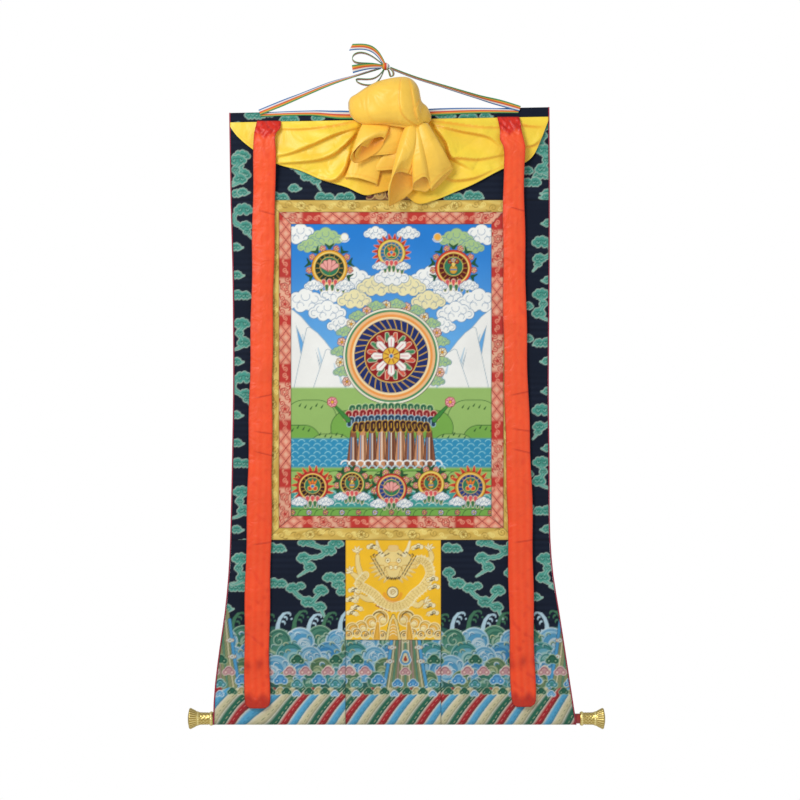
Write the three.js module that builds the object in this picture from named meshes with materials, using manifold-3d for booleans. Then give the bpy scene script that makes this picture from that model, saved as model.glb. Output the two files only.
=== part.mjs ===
// A thangka: a scroll painting on cloth in a brocade mount, hung on a wall by a five-colour ribbon.
// Millimetres. +Z is up, the picture side faces -Y and the wall is the plane Y = 0.
// The origin is the point of the wall behind the ribbon's knot, where the nail is.
import * as THREE from "three";
import Module from "manifold-3d";

const wasm = await Module();
wasm.setup();

// ---- driving dimensions ----
const seamGap = 0.3; // between pieces that are sewn or laid together
const clothThickness = 1.5; // lined brocade
const canvasThickness = 1.2;
const canvasSetBack = 0.2; // the painted canvas lies a little behind the silk bands
const veilThickness = 1.8;
const streamerThickness = 2.4; // a flat tube of satin
const ribbonThickness = 1;
const pipingWidth = 2.6;
const pipingThickness = 2.4;
const patchThickness = 1.2; // the tan patch sewn over the top panel

const pictureWidth = 401;
const pictureHeight = 584;
const bandWidth = 24; // the red silk band and the gold one, each
const frameCentreX = 11.5;
const frameTopZ = -268;
const doorLeftX = -80; // the seams beside the dragon patch and below it
const doorRightX = 111;
const doorHeight = 200;
const crownPatchWidth = 101.5; // tan brocade over the middle of the frame, half hidden by the veil
const crownPatchHeight = 64;

const rodRadius = 10;
const finialRadius = 20.5;
const finialLength = 50;
const finialSocketDepth = 12;
const finialNeckRadius = 13;
const finialMouthLeftX = -346;
const finialMouthRightX = 390;
const hemRadius = 12.3; // outside of the hem that holds the rod
const rodZ = -1307;
const rodY = -finialRadius - 1.5; // the finials hold the rod off the wall
const clothFrontY = rodY - hemRadius; // the hem is flush with the front of the scroll
const hemWrapDegrees = 250; // how far the hem goes round the rod before it returns to the cloth
const hemSeamRise = 17; // the hem is sewn this far above the rod's centre
const hemSteps = 10;

const topEdgeCentreZ = -87.5;
const topEdgeTilt = 0.018; // the top edge rises to the right
const staveDepth = 12; // the sewn sleeve at the top, with its flat stave inside
const veilTopDrop = 19.5; // the veil is sewn on this far below the top edge
const veilFallsFree = 26; // over this height under its seam the veil comes off the brocade
const veilStandOff = 3;
const bundleBackOff = 1.9; // the bundle's back lies on the ribbon and the brocade

// ---- tables ----
// The long outer edges, both sides, from the top down.
const outerEdges = [
  { z: -80, left: -313, right: 328 },
  { z: -250, left: -310.5, right: 329 },
  { z: -430, left: -306, right: 328.5 },
  { z: -640, left: -305, right: 327 },
  { z: -800, left: -307.5, right: 328.5 },
  { z: -930, left: -310.5, right: 329.5 },
  { z: -1010, left: -314, right: 335 },
  { z: -1090, left: -321.5, right: 347.5 },
  { z: -1170, left: -333, right: 360 },
  { z: -1250, left: -342.5, right: 372 },
  { z: -1320, left: -345.5, right: 383 },
];

// How far the hanging cloth ripples, from the stave down to the rod.
const rippleRows = [
  { z: -80, depth: 0 },
  { z: -290, depth: 0 },
  { z: -450, depth: 1 },
  { z: -900, depth: 1.3 },
  { z: -1130, depth: 2.4 },
  { z: -1240, depth: 1.2 },
  { z: -1285, depth: 0 },
  { z: -1330, depth: 0 },
];

const rippleWaves = [
  { length: 250, slant: 420, start: 0.6, share: 0.7 },
  { length: 118, slant: -300, start: 1.1, share: 0.3 },
];

// The sleeve at the top: how far below the top edge, and its front and back behind the cloth's front.
const staveSleeve = [
  { drop: 0, front: 2.5, back: staveDepth - 2.5 },
  { drop: 2.5, front: 0, back: staveDepth },
  { drop: 14, front: 0, back: staveDepth },
  { drop: 17.5, front: 0, back: clothThickness + 2 },
  { drop: 19, front: 0, back: clothThickness },
];

// The two red streamers: edges and how far the back of the satin stands off the brocade.
const streamerLeft = [
  { z: -110, left: -257, right: -209.5, off: 3.1 },
  { z: -118, left: -258, right: -208.5, off: 7 },
  { z: -128, left: -260, right: -211, off: 12 },
  { z: -138, left: -261.5, right: -219.5, off: 14.5 },
  { z: -171, left: -263, right: -219, off: 15 },
  { z: -205, left: -264, right: -219.5, off: 12 },
  { z: -268, left: -265, right: -220, off: 5 },
  { z: -468, left: -268, right: -224, off: 4.5 },
  { z: -668, left: -272, right: -226, off: 4.5 },
  { z: -868, left: -276, right: -227, off: 5 },
  { z: -988, left: -279, right: -229, off: 5 },
  { z: -1148, left: -282, right: -232, off: 5 },
  { z: -1262, left: -281, right: -231, off: 4 },
  { z: -1278, left: -275, right: -236, off: 4 },
  { z: -1284, left: -266, right: -244, off: 4 },
];
const streamerRight = [
  { z: -102, left: 223, right: 267, off: 3.1 },
  { z: -110, left: 225, right: 269, off: 7.5 },
  { z: -118, left: 226.5, right: 270, off: 10.5 },
  { z: -130, left: 229, right: 271, off: 13 },
  { z: -148, left: 228.5, right: 275, off: 16.5 },
  { z: -166, left: 235.5, right: 278, off: 19 },
  { z: -205, left: 235.5, right: 277, off: 14 },
  { z: -268, left: 235, right: 277.5, off: 5 },
  { z: -468, left: 235, right: 281, off: 4.5 },
  { z: -608, left: 237, right: 284, off: 4.5 },
  { z: -752, left: 240, right: 289, off: 4.5 },
  { z: -868, left: 243, right: 293, off: 5 },
  { z: -1148, left: 248, right: 297, off: 5 },
  { z: -1259, left: 251, right: 300, off: 4 },
  { z: -1275, left: 257, right: 295, off: 4 },
  { z: -1281, left: 265, right: 286, off: 4 },
];

// The veil's lower edge, from the left corner to the right one.
const veilHem = [
  { x: -311, z: -121 },
  { x: -297, z: -140 },
  { x: -265, z: -167 },
  { x: -219, z: -195 },
  { x: -171, z: -209 },
  { x: -129, z: -227 },
  { x: -77, z: -243 },
  { x: -42, z: -258 },
  { x: -15, z: -254 },
  { x: 25, z: -248 },
  { x: 63, z: -275 },
  { x: 97, z: -269 },
  { x: 137, z: -253 },
  { x: 177, z: -236 },
  { x: 235, z: -206 },
  { x: 277, z: -194 },
  { x: 297, z: -177 },
  { x: 313, z: -142 },
  { x: 326, z: -108 },
];

// The long folds of the veil: a bent line from its gathered middle to a corner, its height and width.
const veilFolds = [
  { x0: -50, z0: -112, x1: -140, z1: -137, x2: -270, z2: -134, height: 9, width: 13 },
  { x0: -55, z0: -124, x1: -140, z1: -164, x2: -240, z2: -172, height: 15, width: 13 },
  { x0: -62, z0: -150, x1: -120, z1: -196, x2: -200, z2: -196, height: 19, width: 17 },
  { x0: -66, z0: -205, x1: -95, z1: -228, x2: -120, z2: -222, height: 10, width: 14 },
  { x0: 92, z0: -108, x1: 170, z1: -116, x2: 270, z2: -132, height: 9, width: 12 },
  { x0: 100, z0: -124, x1: 165, z1: -152, x2: 262, z2: -172, height: 16, width: 15 },
  { x0: 118, z0: -180, x1: 160, z1: -206, x2: 226, z2: -196, height: 14, width: 15 },
  { x0: 100, z0: -236, x1: 130, z1: -246, x2: 160, z2: -236, height: 9, width: 12 },
];

// The puffed bundle over the veil's tie, cut across: each row is one upright oval.
const veilBundle = [
  { x: -74, top: -73, bottom: -88, depth: 14 },
  { x: -68, top: -60, bottom: -104, depth: 32 },
  { x: -52, top: -47, bottom: -114, depth: 48 },
  { x: -28, top: -36, bottom: -118, depth: 60 },
  { x: 0, top: -28, bottom: -115, depth: 68 },
  { x: 26, top: -22.5, bottom: -117, depth: 72 },
  { x: 48, top: -24, bottom: -121, depth: 68 },
  { x: 62, top: -36, bottom: -120, depth: 58 },
  { x: 72, top: -62, bottom: -117, depth: 46 },
  { x: 84, top: -84, bottom: -112, depth: 34 },
  { x: 91, top: -96, bottom: -108, depth: 16 },
];

// Rolled folds laid over the bundle: a line of three points on its front, with the roll's radius.
const bundleRolls = [
  { x0: 36, y0: -58, z0: -29, x1: 31, y1: -112, z1: -70, x2: 52, y2: -84, z2: -113, radius: 14 },
  { x0: 58, y0: -62, z0: -44, x1: 66, y1: -92, z1: -84, x2: 72, y2: -72, z2: -108, radius: 11 },
  { x0: -52, y0: -72, z0: -110, x1: 4, y1: -104, z1: -118, x2: 58, y2: -84, z2: -114, radius: 9 },
];

// The rolled folds that fan out under the bundle. Each is a horn: its root at the bundle, the middle,
// half width and half height of its mouth, how far the mouth is turned, and how far its upper lip
// stands in front of its lower one.
const veilHorns = [
  { rootX: -18, x: -41, y: -62, z: -178, wide: 33, tall: 19, turn: -8, lip: 18 },
  { rootX: 26, x: 2, y: -86, z: -191, wide: 36, tall: 14, turn: 7, lip: 12 },
  { rootX: 2, x: -38, y: -52, z: -219, wide: 26, tall: 21, turn: -4, lip: 8 },
  { rootX: 44, x: 23, y: -70, z: -250, wide: 27, tall: 32, turn: -14, lip: 20 },
  { rootX: 60, x: 73, y: -72, z: -236, wide: 18, tall: 14, turn: 4, lip: 12 },
  { rootX: 72, x: 110, y: -60, z: -222, wide: 30, tall: 13, turn: 52, lip: 10 },
];
const hornRoot = { y: -66, z: -108, radius: 13 };
const hornSides = 16;
const hornSteps = 5;
const hornHollowFrom = 0.4; // a horn is open from here to its mouth
const hornSwell = 14; // the fold swells forward on its way down

// The hanging ribbon's runs: middle line, width, and how far the ribbon is turned on edge.
const ribbonLeftRows = [
  { x: -10.2, y: -27.2, z: -3.2, width: 12, turn: 68 },
  { x: -66, y: -30, z: -20.5, width: 15, turn: 68 },
  { x: -111, y: -32, z: -35, width: 16, turn: 56 },
  { x: -171, y: -36, z: -60, width: 15, turn: 45 },
  { x: -214, y: -38.6, z: -78, width: 13, turn: 16 },
  { x: -252, y: -37, z: -93, width: 11, turn: 0 },
];
const ribbonRightRows = [
  { x: 9.4, y: -28, z: -3, width: 12, turn: 70 },
  { x: 57, y: -30, z: -21.5, width: 14, turn: 73 },
  { x: 109, y: -32, z: -38, width: 15, turn: 71 },
  { x: 189, y: -36, z: -63, width: 15, turn: 62 },
  { x: 232, y: -38.6, z: -75, width: 13, turn: 24 },
  { x: 269, y: -37, z: -85.5, width: 11, turn: 0 },
];
const ribbonLowerY = clothFrontY - seamGap - ribbonThickness / 2;
const ribbonLowerRows = [
  { x: -250, y: ribbonLowerY, z: -97, width: 8, turn: 0 },
  { x: -151, y: ribbonLowerY, z: -94, width: 10, turn: 0 },
  { x: -91, y: ribbonLowerY, z: -97.5, width: 17, turn: 0 },
  { x: 0, y: ribbonLowerY, z: -97.5, width: 16, turn: 0 },
  { x: 109, y: ribbonLowerY, z: -91.5, width: 14, turn: 0 },
  { x: 189, y: ribbonLowerY, z: -89, width: 11, turn: 0 },
  { x: 266, y: ribbonLowerY, z: -90, width: 8, turn: 0 },
];

// The loops of the bow: how far each reaches, where it points (degrees from +X in the wall's plane),
// its bend, the opening between its two runs, its width, how far it is turned on edge, and how far
// its tip stands in front of the knot.
const bowLoops = [
  { reach: 78, aim: 152, bend: 17, opening: 7, width: 15, turn: 10, forward: 12 },
  { reach: 68, aim: 166, bend: 5, opening: 22, width: 13, turn: 82, forward: 10 },
  { reach: 66, aim: 188, bend: 3, opening: 6, width: 16, turn: 8, forward: 26 },
  { reach: 66, aim: 208, bend: -16, opening: 14, width: 12, turn: 80, forward: 14 },
  { reach: 26, aim: 302, bend: -3, opening: 9, width: 9, turn: 62, forward: 15 },
];
const knot = { x: 0, y: -29, z: 0, wide: 7.6, deep: 7, tall: 7 };

const colours = {
  brocade: 0x14202c,
  door: 0xf2b01e,
  crown: 0x8a5f2a,
  canvas: 0x6f9fc4,
  goldBand: 0xd9b75a,
  redBand: 0xb8352a,
  piping: 0x8f1a34,
  rod: 0x8c1a18,
  finial: 0xd2a93c,
  streamer: 0xe8492a,
  veil: 0xf6c53d,
  ribbon: 0x2f7fb5,
};

// ---- shared shapes ----
// One column of a table, read smoothly between rows that follow each other along another column.
function readColumn(rows, along, column, at) {
  const last = rows.length - 1;
  const rising = rows[last][along] > rows[0][along];
  let i = 0;
  while (i < last - 1 && (rising ? at > rows[i + 1][along] : at < rows[i + 1][along])) {
    i += 1;
  }
  const slopeAt = (k) => {
    const before = rows[Math.max(k - 1, 0)];
    const after = rows[Math.min(k + 1, last)];
    return (after[column] - before[column]) / (after[along] - before[along]);
  };
  const span = rows[i + 1][along] - rows[i][along];
  const t = THREE.MathUtils.clamp((at - rows[i][along]) / span, 0, 1);
  const ease = t * t * (3 - 2 * t);
  const leave = t * (1 - t) * (1 - t) * span * slopeAt(i);
  const arrive = t * t * (1 - t) * span * slopeAt(i + 1);
  return rows[i][column] * (1 - ease) + rows[i + 1][column] * ease + leave - arrive;
}

// The point between two table rows' worth of columns, t running from the first row to the last.
function alongRows(rows, column, t) {
  const place = t * (rows.length - 1);
  const i = Math.min(Math.floor(place), rows.length - 2);
  return THREE.MathUtils.lerp(rows[i][column], rows[i + 1][column], place - i);
}

// Depth of the slow ripple in the hanging cloth, towards the wall where it is positive.
function ripple(x, z) {
  const depth = readColumn(rippleRows, "z", "depth", z);
  const wave = ({ length, slant, start }) => Math.sin((2 * Math.PI * x) / length + z / slant + start);
  return depth * rippleWaves.reduce((sum, one) => sum + one.share * wave(one), 0);
}

function topEdge(x) {
  return topEdgeCentreZ + topEdgeTilt * (x - frameCentreX);
}

// A geometry from points and triangles, turned so that its faces point out.
function closedGeometry(points, triangles) {
  let volume = 0;
  const cross = new THREE.Vector3();
  for (let i = 0; i < triangles.length; i += 3) {
    cross.crossVectors(points[triangles[i + 1]], points[triangles[i + 2]]);
    volume += points[triangles[i]].dot(cross);
  }
  if (volume < 0) {
    for (let i = 0; i < triangles.length; i += 3) {
      [triangles[i + 1], triangles[i + 2]] = [triangles[i + 2], triangles[i + 1]];
    }
  }
  const geometry = new THREE.BufferGeometry();
  geometry.setFromPoints(points);
  geometry.setIndex(triangles);
  geometry.computeVertexNormals();
  return geometry;
}

// A closed sheet: a front and a back grid, joined all round their rim.
// front(u, v) and back(u, v) give the points, u across and v along, both from 0 to 1.
function closedSheet(columns, rows, front, back) {
  const points = [];
  for (const face of [front, back]) {
    for (let row = 0; row <= rows; row += 1) {
      for (let column = 0; column <= columns; column += 1) {
        points.push(face(column / columns, row / rows));
      }
    }
  }
  const backStart = points.length / 2;
  const at = (column, row) => row * (columns + 1) + column;
  const triangles = [];
  const quad = (a, b, c, d) => triangles.push(a, b, c, a, c, d);
  for (let row = 0; row < rows; row += 1) {
    for (let column = 0; column < columns; column += 1) {
      const a = at(column, row);
      const b = at(column, row + 1);
      const c = at(column + 1, row + 1);
      const d = at(column + 1, row);
      quad(a, b, c, d);
      quad(backStart + a, backStart + d, backStart + c, backStart + b);
    }
  }
  const rim = [];
  for (let column = 0; column < columns; column += 1) rim.push(at(column, 0));
  for (let row = 0; row < rows; row += 1) rim.push(at(columns, row));
  for (let column = columns; column > 0; column -= 1) rim.push(at(column, rows));
  for (let row = rows; row > 0; row -= 1) rim.push(at(0, row));
  rim.forEach((point, i) => {
    const next = rim[(i + 1) % rim.length];
    quad(point, next, backStart + next, backStart + point);
  });
  return closedGeometry(points, triangles);
}

// A closed skin over rings of equal size, with a fan over each end.
function loftedRings(rings) {
  const sides = rings[0].length;
  const points = rings.flat();
  const triangles = [];
  for (let ring = 0; ring < rings.length - 1; ring += 1) {
    for (let side = 0; side < sides; side += 1) {
      const a = ring * sides + side;
      const b = ring * sides + ((side + 1) % sides);
      triangles.push(a, b, b + sides, a, b + sides, a + sides);
    }
  }
  const capEnd = (ring, flipped) => {
    const middle = new THREE.Vector3();
    ring.forEach((point) => middle.addScaledVector(point, 1 / sides));
    const centre = points.push(middle) - 1;
    const start = flipped ? 0 : (rings.length - 1) * sides;
    for (let side = 0; side < sides; side += 1) {
      const a = start + side;
      const b = start + ((side + 1) % sides);
      triangles.push(...(flipped ? [centre, b, a] : [centre, a, b]));
    }
  };
  capEnd(rings[0], true);
  capEnd(rings[rings.length - 1], false);
  return closedGeometry(points, triangles);
}

function toSolid(geometry) {
  const vertProperties = new Float32Array(geometry.getAttribute("position").array);
  const triVerts = new Uint32Array(geometry.getIndex().array);
  return new wasm.Manifold(new wasm.Mesh({ numProp: 3, vertProperties, triVerts }));
}

// The solid's one body: cuts and joins can leave a loose sliver, or a sealed pocket, which are dropped.
function toGeometry(solid) {
  const [body] = solid.decompose().sort((a, b) => b.volume() - a.volume());
  const mesh = body.getMesh();
  const geometry = new THREE.BufferGeometry();
  geometry.setAttribute("position", new THREE.BufferAttribute(mesh.vertProperties, 3));
  geometry.setIndex(new THREE.BufferAttribute(mesh.triVerts, 1));
  geometry.computeVertexNormals();
  return geometry;
}

const group = new THREE.Group();

function addMesh(name, geometry, colour, roughness = 0.8, metalness = 0) {
  const look = { color: colour, roughness, metalness, side: THREE.DoubleSide };
  const mesh = new THREE.Mesh(geometry, new THREE.MeshStandardMaterial(look));
  mesh.name = name;
  group.add(mesh);
  return mesh;
}

// A flat piece of the hanging cloth between two side lines and two level lines.
function hangingCloth({ left, right, top, bottom, columns, rows, thickness = clothThickness, setBack = 0 }) {
  const place = (u, v, depth) => {
    const z = THREE.MathUtils.lerp(top - seamGap / 2, bottom + seamGap / 2, v);
    const x = THREE.MathUtils.lerp(left(z) + seamGap / 2, right(z) - seamGap / 2, u);
    return new THREE.Vector3(x, clothFrontY + setBack + ripple(x, z) + depth, z);
  };
  return closedSheet(columns, rows, (u, v) => place(u, v, 0), (u, v) => place(u, v, thickness));
}

// ---- the brocade mount ----
const clothLeft = (z) => readColumn(outerEdges, "z", "left", z) + pipingWidth + seamGap / 2;
const clothRight = (z) => readColumn(outerEdges, "z", "right", z) - pipingWidth - seamGap / 2;
const goldHalfWidth = pictureWidth / 2 + 2 * bandWidth;
const goldLeftX = frameCentreX - goldHalfWidth;
const goldRightX = frameCentreX + goldHalfWidth;
const frameBottomZ = frameTopZ - pictureHeight - 4 * bandWidth;

// The top panel with the sleeve that holds the stave, both one cloth.
function topPanel() {
  const clothRows = 6;
  const sleeveRows = staveSleeve.length - 1;
  const rows = sleeveRows + clothRows;
  const place = (u, v, side) => {
    const row = Math.round(v * rows);
    const sleeve = staveSleeve[Math.min(row, sleeveRows)];
    const sideZ = frameTopZ / 2;
    const roughX = THREE.MathUtils.lerp(clothLeft(sideZ), clothRight(sideZ), u);
    const sleeveZ = topEdge(roughX) - sleeve.drop;
    const down = Math.max(row - sleeveRows, 0) / clothRows;
    const z = THREE.MathUtils.lerp(sleeveZ, frameTopZ + seamGap / 2, down);
    const x = THREE.MathUtils.lerp(clothLeft(z), clothRight(z), u);
    return new THREE.Vector3(x, clothFrontY + sleeve[side] + ripple(x, z), z);
  };
  return closedSheet(16, rows, (u, v) => place(u, v, "front"), (u, v) => place(u, v, "back"));
}

// The path of the skirt's cloth from its top seam down, round the rod and back up to its hem seam.
function skirtPath(topZ, straightSteps) {
  const radius = hemRadius - clothThickness / 2;
  const frontY = rodY - radius;
  const path = [];
  for (let i = 0; i <= straightSteps; i += 1) {
    const z = THREE.MathUtils.lerp(topZ, rodZ, i / straightSteps);
    path.push({ y: frontY, z, normalY: -1, normalZ: 0 });
  }
  for (let i = 1; i <= hemSteps; i += 1) {
    const angle = Math.PI + THREE.MathUtils.degToRad((hemWrapDegrees * i) / hemSteps);
    const [normalY, normalZ] = [Math.cos(angle), Math.sin(angle)];
    path.push({ y: rodY + radius * normalY, z: rodZ + radius * normalZ, normalY, normalZ });
  }
  const { normalY, normalZ } = path[path.length - 1];
  const seamY = clothFrontY + clothThickness * 2 + seamGap;
  path.push({ y: seamY, z: rodZ + hemSeamRise, normalY, normalZ });
  return path;
}

// Cloth or piping that follows the skirt's path, between two side lines.
function skirtCloth({ topZ, straightSteps, columns, left, right, thickness }) {
  const path = skirtPath(topZ, straightSteps);
  const rows = path.length - 1;
  const place = (u, v, depth) => {
    const station = path[Math.round(v * rows)];
    const z = station.z + depth * station.normalZ;
    const x = THREE.MathUtils.lerp(left(station.z), right(station.z), u);
    const hanging = station.normalY === -1 ? ripple(x, station.z) : 0;
    return new THREE.Vector3(x, station.y + depth * station.normalY + hanging, z);
  };
  const half = thickness / 2;
  return closedSheet(columns, rows, (u, v) => place(u, v, half), (u, v) => place(u, v, -half));
}

function addBrocade() {
  addMesh("brocade_top", topPanel(), colours.brocade);
  const half = seamGap / 2;
  const sideStrip = { top: frameTopZ, bottom: frameBottomZ, columns: 2, rows: 12 };
  addMesh("brocade_side_left", hangingCloth({
    ...sideStrip, left: (z) => clothLeft(z) - half, right: () => goldLeftX,
  }), colours.brocade);
  addMesh("brocade_side_right", hangingCloth({
    ...sideStrip, left: () => goldRightX, right: (z) => clothRight(z) + half,
  }), colours.brocade);
  const skirtTop = frameBottomZ - half;
  addMesh("brocade_skirt_left", skirtCloth({
    topZ: skirtTop, straightSteps: 14, columns: 6, thickness: clothThickness,
    left: clothLeft, right: () => doorLeftX - half,
  }), colours.brocade);
  addMesh("brocade_skirt_centre", skirtCloth({
    topZ: skirtTop - doorHeight, straightSteps: 8, columns: 5, thickness: clothThickness,
    left: () => doorLeftX + half, right: () => doorRightX - half,
  }), colours.brocade);
  addMesh("brocade_skirt_right", skirtCloth({
    topZ: skirtTop, straightSteps: 14, columns: 6, thickness: clothThickness,
    left: () => doorRightX + half, right: clothRight,
  }), colours.brocade);
}

// ---- the red piping along both long edges ----
function addPiping() {
  const edges = {
    left: {
      left: (z) => readColumn(outerEdges, "z", "left", z),
      right: (z) => readColumn(outerEdges, "z", "left", z) + pipingWidth - seamGap / 2,
    },
    right: {
      left: (z) => readColumn(outerEdges, "z", "right", z) - pipingWidth + seamGap / 2,
      right: (z) => readColumn(outerEdges, "z", "right", z),
    },
  };
  for (const [side, lines] of Object.entries(edges)) {
    const topZ = topEdge(lines.left(frameTopZ / 2));
    const piping = { topZ, straightSteps: 34, columns: 1, thickness: pipingThickness, ...lines };
    addMesh(`edge_piping_${side}`, skirtCloth(piping), colours.piping);
  }
}

// ---- the picture, its two silk bands and the two patches ----
// One side of a band: a strip with mitred ends round a rectangle whose middle is (frameCentreX, midZ).
function bandStrip(side, innerWidth, innerHeight) {
  const midZ = frameTopZ - 2 * bandWidth - pictureHeight / 2;
  const level = side === "top" || side === "bottom";
  const sign = side === "top" || side === "right" ? 1 : -1;
  const halfLength = (level ? innerWidth : innerHeight) / 2;
  const inner = (level ? innerHeight : innerWidth) / 2;
  const place = (u, v, depth) => {
    const out = THREE.MathUtils.lerp(seamGap / 2, bandWidth - seamGap / 2, u);
    const reach = halfLength + out - seamGap * Math.SQRT1_2;
    const along = THREE.MathUtils.lerp(-reach, reach, v);
    const x = frameCentreX + (level ? along : sign * (inner + out));
    const z = midZ + (level ? sign * (inner + out) : along);
    return new THREE.Vector3(x, clothFrontY + ripple(x, z) + depth, z);
  };
  const rows = level ? 8 : 12;
  return closedSheet(1, rows, (u, v) => place(u, v, 0), (u, v) => place(u, v, clothThickness));
}

function addPicture() {
  const pictureTop = frameTopZ - 2 * bandWidth;
  addMesh("picture_canvas", hangingCloth({
    left: () => frameCentreX - pictureWidth / 2, right: () => frameCentreX + pictureWidth / 2,
    top: pictureTop, bottom: pictureTop - pictureHeight,
    columns: 8, rows: 12, thickness: canvasThickness, setBack: canvasSetBack,
  }), colours.canvas, 0.7);
  for (const side of ["top", "bottom", "left", "right"]) {
    addMesh(`red_band_${side}`, bandStrip(side, pictureWidth, pictureHeight), colours.redBand, 0.6);
    const [width, height] = [pictureWidth + 2 * bandWidth, pictureHeight + 2 * bandWidth];
    addMesh(`gold_band_${side}`, bandStrip(side, width, height), colours.goldBand, 0.5);
  }
  addMesh("dragon_patch", hangingCloth({
    left: () => doorLeftX, right: () => doorRightX,
    top: frameBottomZ, bottom: frameBottomZ - doorHeight, columns: 5, rows: 5,
  }), colours.door, 0.6);
  addMesh("crown_patch", hangingCloth({
    left: () => frameCentreX - crownPatchWidth / 2, right: () => frameCentreX + crownPatchWidth / 2,
    top: frameTopZ + crownPatchHeight, bottom: frameTopZ, columns: 4, rows: 3,
    thickness: patchThickness, setBack: -patchThickness - seamGap,
  }), colours.crown, 0.6);
}

// ---- the rod and its finials ----
function addRod() {
  const left = finialMouthLeftX - finialSocketDepth + seamGap;
  const right = finialMouthRightX + finialSocketDepth - seamGap;
  const stick = new THREE.CylinderGeometry(rodRadius, rodRadius, right - left, 28);
  const rod = addMesh("rod", stick, colours.rod, 0.4);
  rod.rotation.z = Math.PI / 2;
  rod.position.set((left + right) / 2, rodY, rodZ);
  // from the mouth outwards: distance along the finial and its radius
  const profileRows = [
    { along: finialSocketDepth, radius: 0 },
    { along: finialSocketDepth, radius: rodRadius + seamGap },
    { along: 0, radius: rodRadius + seamGap },
    { along: 0, radius: finialNeckRadius },
    { along: 3, radius: finialNeckRadius + 0.6 },
    { along: 6, radius: finialNeckRadius },
    { along: 8, radius: finialNeckRadius - 1 },
    { along: 24, radius: finialNeckRadius - 0.8 },
    { along: 32, radius: finialNeckRadius + 1.2 },
    { along: 39, radius: finialNeckRadius + 4.6 },
    { along: 44, radius: finialRadius - 0.4 },
    { along: 46, radius: finialRadius },
    { along: 47.5, radius: finialRadius - 1 },
    { along: 48.5, radius: finialRadius * 0.75 },
    { along: finialLength, radius: finialRadius * 0.4 },
    { along: finialLength, radius: 0 },
  ];
  const profile = profileRows.map((row) => new THREE.Vector2(row.radius, row.along));
  const ends = [
    { side: "left", mouthX: finialMouthLeftX, turn: Math.PI / 2 },
    { side: "right", mouthX: finialMouthRightX, turn: -Math.PI / 2 },
  ];
  for (const { side, mouthX, turn } of ends) {
    const shape = new THREE.LatheGeometry(profile, 28);
    const finial = addMesh(`finial_${side}`, shape, colours.finial, 0.3, 1);
    finial.rotation.z = turn;
    finial.position.set(mouthX, rodY, rodZ);
  }
}

// ---- the red satin streamers ----
function addStreamers() {
  const rows = 30;
  const bow = 2.5; // the satin stands this much further off along its middle
  for (const [side, table] of [["left", streamerLeft], ["right", streamerRight]]) {
    const topZ = table[0].z;
    const bottomZ = table[table.length - 1].z;
    const place = (u, v, depth) => {
      const eased = THREE.MathUtils.lerp(v, THREE.MathUtils.smoothstep(v, 0, 1), 0.7); // closer rows at the ends
      const z = THREE.MathUtils.lerp(topZ, bottomZ, eased);
      const left = readColumn(table, "z", "left", z);
      const right = readColumn(table, "z", "right", z);
      const fullness = bow * 4 * u * (1 - u) * Math.min(v * 8, 1);
      const off = readColumn(table, "z", "off", z) + fullness;
      return new THREE.Vector3(THREE.MathUtils.lerp(left, right, u), clothFrontY - off - depth, z);
    };
    const front = (u, v) => place(u, v, streamerThickness);
    const back = (u, v) => place(u, v, 0);
    addMesh(`streamer_${side}`, closedSheet(4, rows, front, back), colours.streamer, 0.45);
  }
}

// ---- the yellow veil ----
// Distance from (x, z) to a fold's bent line, and how far along that line it is.
function nearestOnFold(fold, x, z) {
  let best = { distance: Infinity, along: 0 };
  const steps = 12;
  for (let i = 0; i <= steps; i += 1) {
    const t = i / steps;
    const lineX = (1 - t) ** 2 * fold.x0 + 2 * t * (1 - t) * fold.x1 + t * t * fold.x2;
    const lineZ = (1 - t) ** 2 * fold.z0 + 2 * t * (1 - t) * fold.z1 + t * t * fold.z2;
    const distance = Math.hypot(x - lineX, z - lineZ);
    if (distance < best.distance) best = { distance, along: t };
  }
  return best;
}

// How far the back of the veil's two wings stands off the brocade.
function veilOff(x, z, topZ) {
  const sewn = (pipingThickness - clothThickness) / 2 + seamGap;
  const belowTop = THREE.MathUtils.smoothstep(topZ - z, 0, veilFallsFree);
  const overRibbon = (ribbonThickness + seamGap) * Math.exp(-(((x - 20) / 80) ** 2));
  let off = sewn + overRibbon + veilStandOff * belowTop;
  for (const fold of veilFolds) {
    const { distance, along } = nearestOnFold(fold, x, z);
    const taper = Math.sqrt(Math.max(1 - along ** 2, 0)) * Math.min(0.6 + along * 3, 1);
    off += fold.height * taper * belowTop * Math.exp(-((distance / fold.width) ** 2));
  }
  return off;
}

function veilWings() {
  const leftX = veilHem[0].x;
  const rightX = veilHem[veilHem.length - 1].x;
  const place = (u, v, depth) => {
    const x = THREE.MathUtils.lerp(leftX, rightX, u);
    const topZ = topEdge(x) - veilTopDrop;
    const z = THREE.MathUtils.lerp(topZ, readColumn(veilHem, "x", "z", x), v);
    return new THREE.Vector3(x, clothFrontY - veilOff(x, z, topZ) - depth, z);
  };
  return closedSheet(40, 10, (u, v) => place(u, v, veilThickness), (u, v) => place(u, v, 0));
}

// The bundle's ovals are round in front and nearly square behind, where they lie on the ribbon.
function veilBundleSkin() {
  const sides = 20;
  const backY = clothFrontY - bundleBackOff;
  const rings = veilBundle.map((row) => {
    const ring = [];
    for (let i = 0; i < sides; i += 1) {
      const angle = (2 * Math.PI * i) / sides;
      const power = Math.sin(angle) > 0 ? 0.9 : 0.35;
      const outward = Math.sign(Math.sin(angle)) * Math.abs(Math.sin(angle)) ** power;
      const upward = Math.sign(Math.cos(angle)) * Math.abs(Math.cos(angle)) ** 0.8;
      const y = backY - (row.depth / 2) * (1 + outward);
      const z = (row.top + row.bottom) / 2 + ((row.top - row.bottom) / 2) * upward;
      ring.push(new THREE.Vector3(row.x, y, z));
    }
    return ring;
  });
  return loftedRings(rings);
}

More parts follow.
